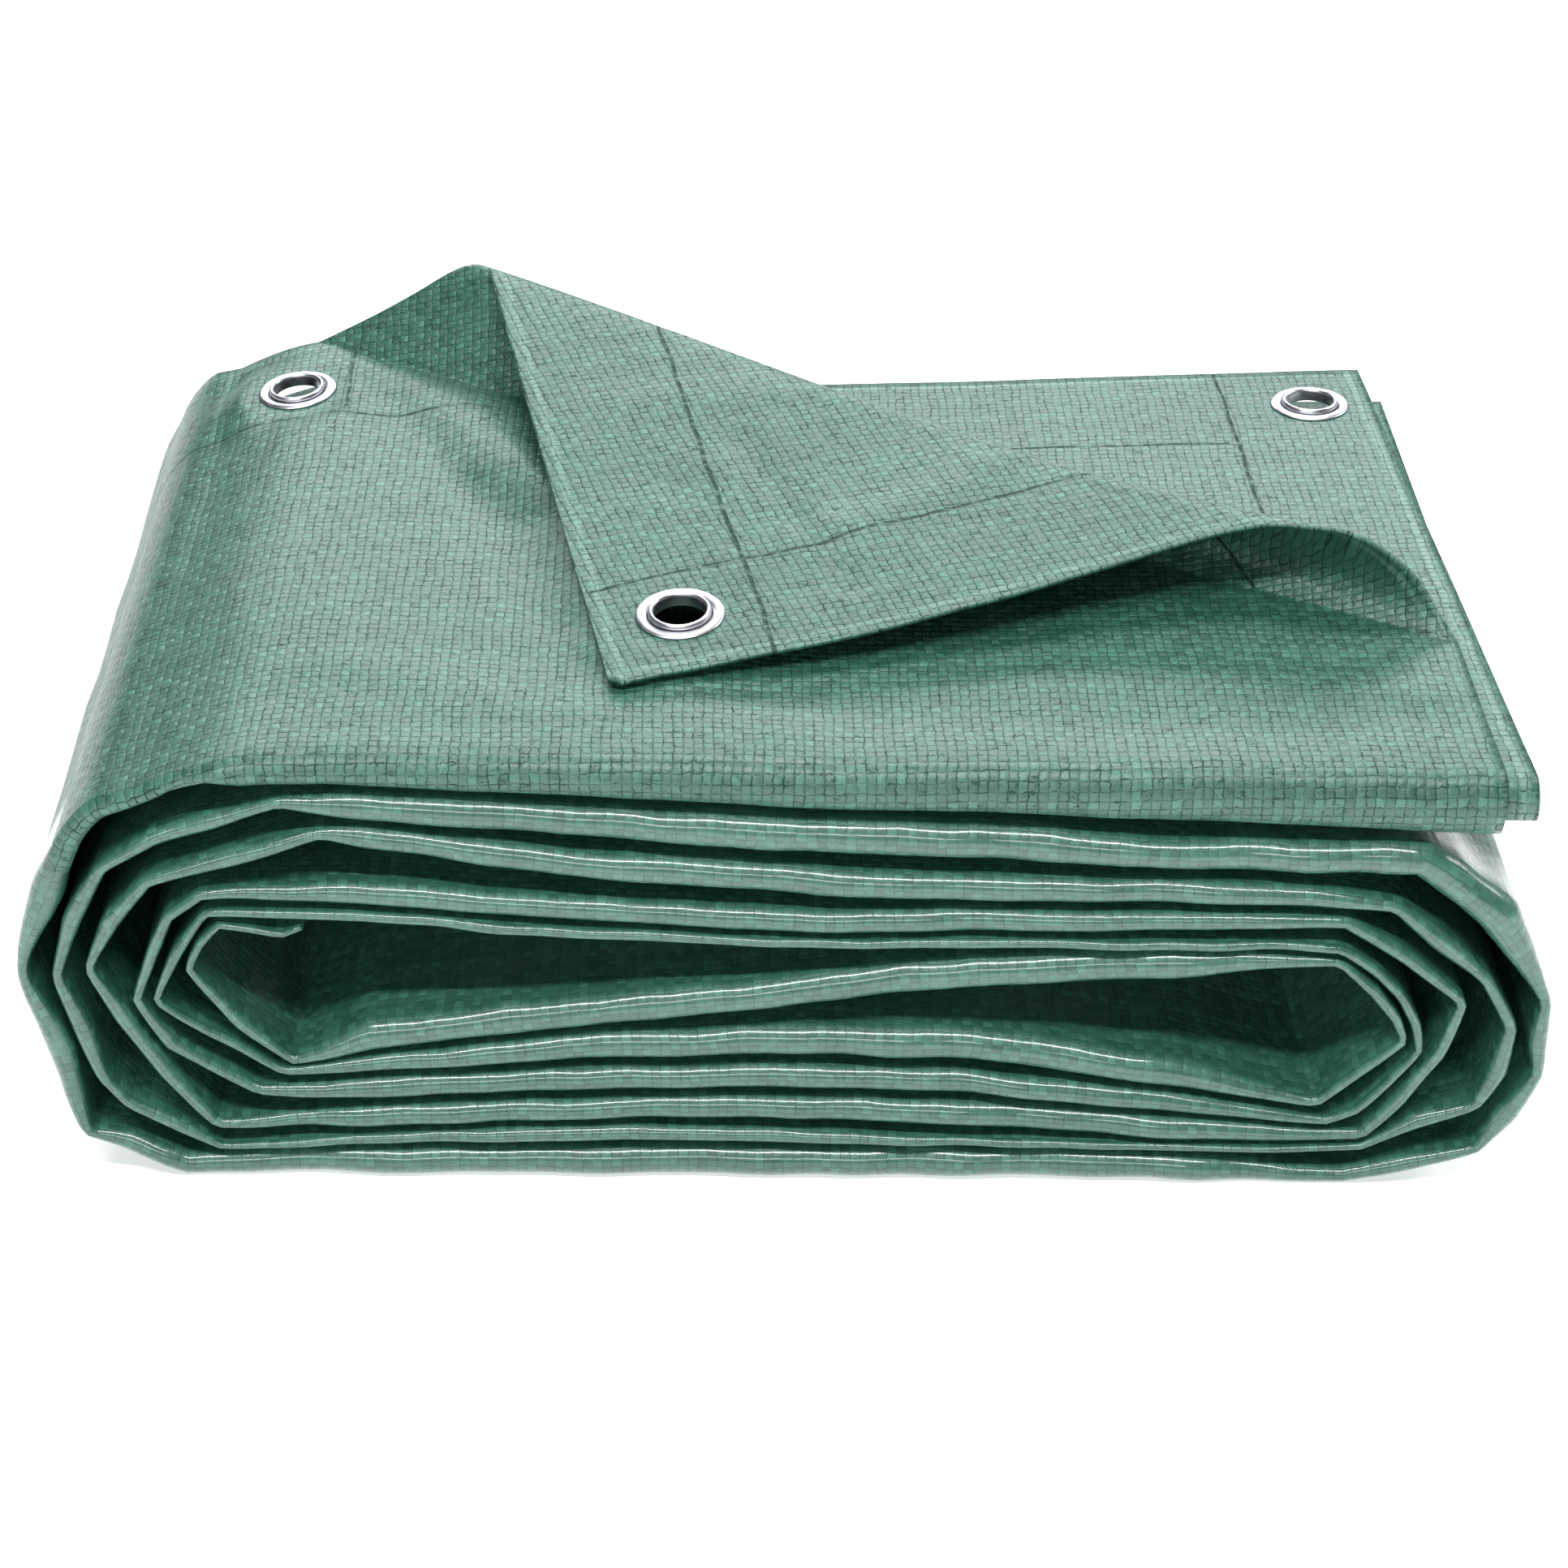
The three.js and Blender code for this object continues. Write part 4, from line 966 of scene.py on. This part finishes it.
def rounded(points, radius, steps=4):
    """Closed profile with its corners rounded off."""
    result = []
    count = len(points)
    for i, corner in enumerate(points):
        corner = np.array(corner, float)
        before, after = np.array(points[i - 1], float), np.array(points[(i + 1) % count], float)
        a = corner + (before - corner) * min(0.45, radius / max(np.linalg.norm(before - corner), 1e-6))
        b = corner + (after - corner) * min(0.45, radius / max(np.linalg.norm(after - corner), 1e-6))
        for t in np.linspace(0, 1, steps):
            result.append(tuple((1 - t) ** 2 * a + 2 * t * (1 - t) * corner + t * t * b))
    return result


def eyelet(place, spot, material):
    """A grommet with a rolled lip, and a washer round the lip."""
    seat, metal = SHEET_THICK / 2 + 0.08, 0.7
    top = seat + LIP_RISE
    lip = [(EYELET_HOLE, -seat - metal), (EYELET_OUTER - 0.9, -seat - metal * 0.7),
           (EYELET_OUTER - 0.7, -seat), (EYELET_HOLE + 0.7, -seat), (EYELET_HOLE + 0.7, seat),
           (EYELET_LIP, seat + 0.1), (EYELET_LIP + 0.12, top * 0.62), (EYELET_LIP - 0.25, top),
           (EYELET_HOLE + 0.35, top), (EYELET_HOLE, top - 0.6)]
    ring = [(EYELET_LIP + 0.25, seat), (EYELET_OUTER, seat), (EYELET_OUTER, seat + metal * 0.45),
            (EYELET_OUTER - 0.7, seat + metal), (EYELET_LIP + 1.2, seat + metal * 1.05),
            (EYELET_LIP + 0.3, seat + metal * 0.55)]
    grommet = lathe("grommet_ring_" + place, rounded(lip, 0.3), spot, material)
    washer = lathe("washer_ring_" + place, rounded(ring, 0.3), spot, material)
    for piece, node in ((grommet, "grommet_" + place), (washer, "washer_" + place)):
        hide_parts(node)
        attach(piece, "root")


# Camera, floor and light

CAMERA = {"place": (-11.55, -769.8, 517.03), "down": 31.68, "turn": -1.0, "lens": 78.26, "sensor": 36}
FLOOR_SIZE = 6
FLOOR_GLOW = 0.5
WORLD_LIGHT = 0.06
DAYLIGHT = (0.93, 0.965, 1)
WHITE = (1, 1, 1)

# Soft lights: name, place, where they point, size, power and colour
LIGHTS = [
    ("back softbox", (0.12, 1.8, 0.98), (0, 0, 0.1), (2.3, 0.45), 24, DAYLIGHT),
    ("right key", (1.45, 0.45, 1.0), (0, 0, 0.1), (0.7, 0.7), 12, WHITE),
    ("top softbox", (0.1, 0.8, 2.1), (0, 0, 0.05), (1.1, 0.6), 32, WHITE),
    ("strip light", (-0.1, -0.8, 1.55), (0, -0.1, 0.06), (1.6, 0.045), 28, WHITE),
    ("front softbox", (-0.4, -1.5, 0.75), (0, -0.1, 0.06), (1.4, 0.12), 9, WHITE),
]


def camera():
    data = bpy.data.cameras.new("view")
    data.lens = CAMERA["lens"]
    data.sensor_width = CAMERA["sensor"]
    data.clip_start = 0.05
    piece = bpy.data.objects.new("view", data)
    piece.location = (Vector(CAMERA["place"]) + Vector(OUTLINE_SHIFT)) * MM
    piece.rotation_euler = (math.radians(90 - CAMERA["down"]), 0, math.radians(CAMERA["turn"]))
    bpy.context.scene.collection.objects.link(piece)
    bpy.context.scene.camera = piece


def floor():
    n = Nodes("floor")
    n.shader.inputs["Base Color"].default_value = (0.93, 0.93, 0.935, 1)
    n.shader.inputs["Roughness"].default_value = 0.8
    n.shader.inputs["Emission Color"].default_value = (1, 1, 1, 1)
    n.shader.inputs["Emission Strength"].default_value = FLOOR_GLOW
    mesh = bpy.data.meshes.new("floor")
    size = FLOOR_SIZE
    corners = [(-size, -size, 0), (size, -size, 0), (size, size, 0), (-size, size, 0)]
    mesh.from_pydata(corners, [], [(0, 1, 2, 3)])
    mesh.materials.append(n.material)
    piece = bpy.data.objects.new("floor", mesh)
    bpy.context.scene.collection.objects.link(piece)


def area_light(name, place, target, size, power, colour):
    data = bpy.data.lights.new(name, "AREA")
    data.shape = "RECTANGLE"
    data.size, data.size_y = size
    data.energy = power
    data.color = colour
    piece = bpy.data.objects.new(name, data)
    piece.location = place
    piece.rotation_euler = (Vector(target) - Vector(place)).to_track_quat("-Z", "Y").to_euler()
    bpy.context.scene.collection.objects.link(piece)


def lights():
    for light in LIGHTS:
        area_light(*light)
    world = bpy.data.worlds.new("studio")
    bpy.context.scene.world = world
    world.use_nodes = True
    world.node_tree.nodes["Background"].inputs[0].default_value = (0.95, 0.97, 1, 1)
    world.node_tree.nodes["Background"].inputs[1].default_value = WORLD_LIGHT
    bpy.context.scene.view_settings.view_transform = "Standard"


camera()
floor()
lights()
cloth = cloth_material("tarp cloth", 0.9, 1.0, 0.4, 0.36)
fold_cloth = cloth_material("tarp folds", 0.4, 0.4, 1.0, 0.14, only_folds=True)
metal = metal_material()
spots = {
    "turned": corner_frame(EYELET_A["row"], EYELET_A["across"]),
    "back": surface_frame(*EYELET_B, upper_z),
    "under": surface_frame(*EYELET_C, lower_z),
}

strip = wound_strip(fold_cloth)
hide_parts("wound_strip")

upper = upper_ply(cloth)
fit_eyelet(upper, spots["turned"])
fit_eyelet(upper, spots["back"])
thicken(upper, SHEET_THICK)
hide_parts("upper_ply", "hem_turned", "hem_back")

lower = lower_ply(cloth)
fit_eyelet(lower, spots["under"])
thicken(lower, SHEET_THICK)
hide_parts("lower_ply", "hem_under")

for piece in (strip, upper, lower):
    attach(piece, "root")
for place, spot in spots.items():
    eyelet(place, spot, metal)
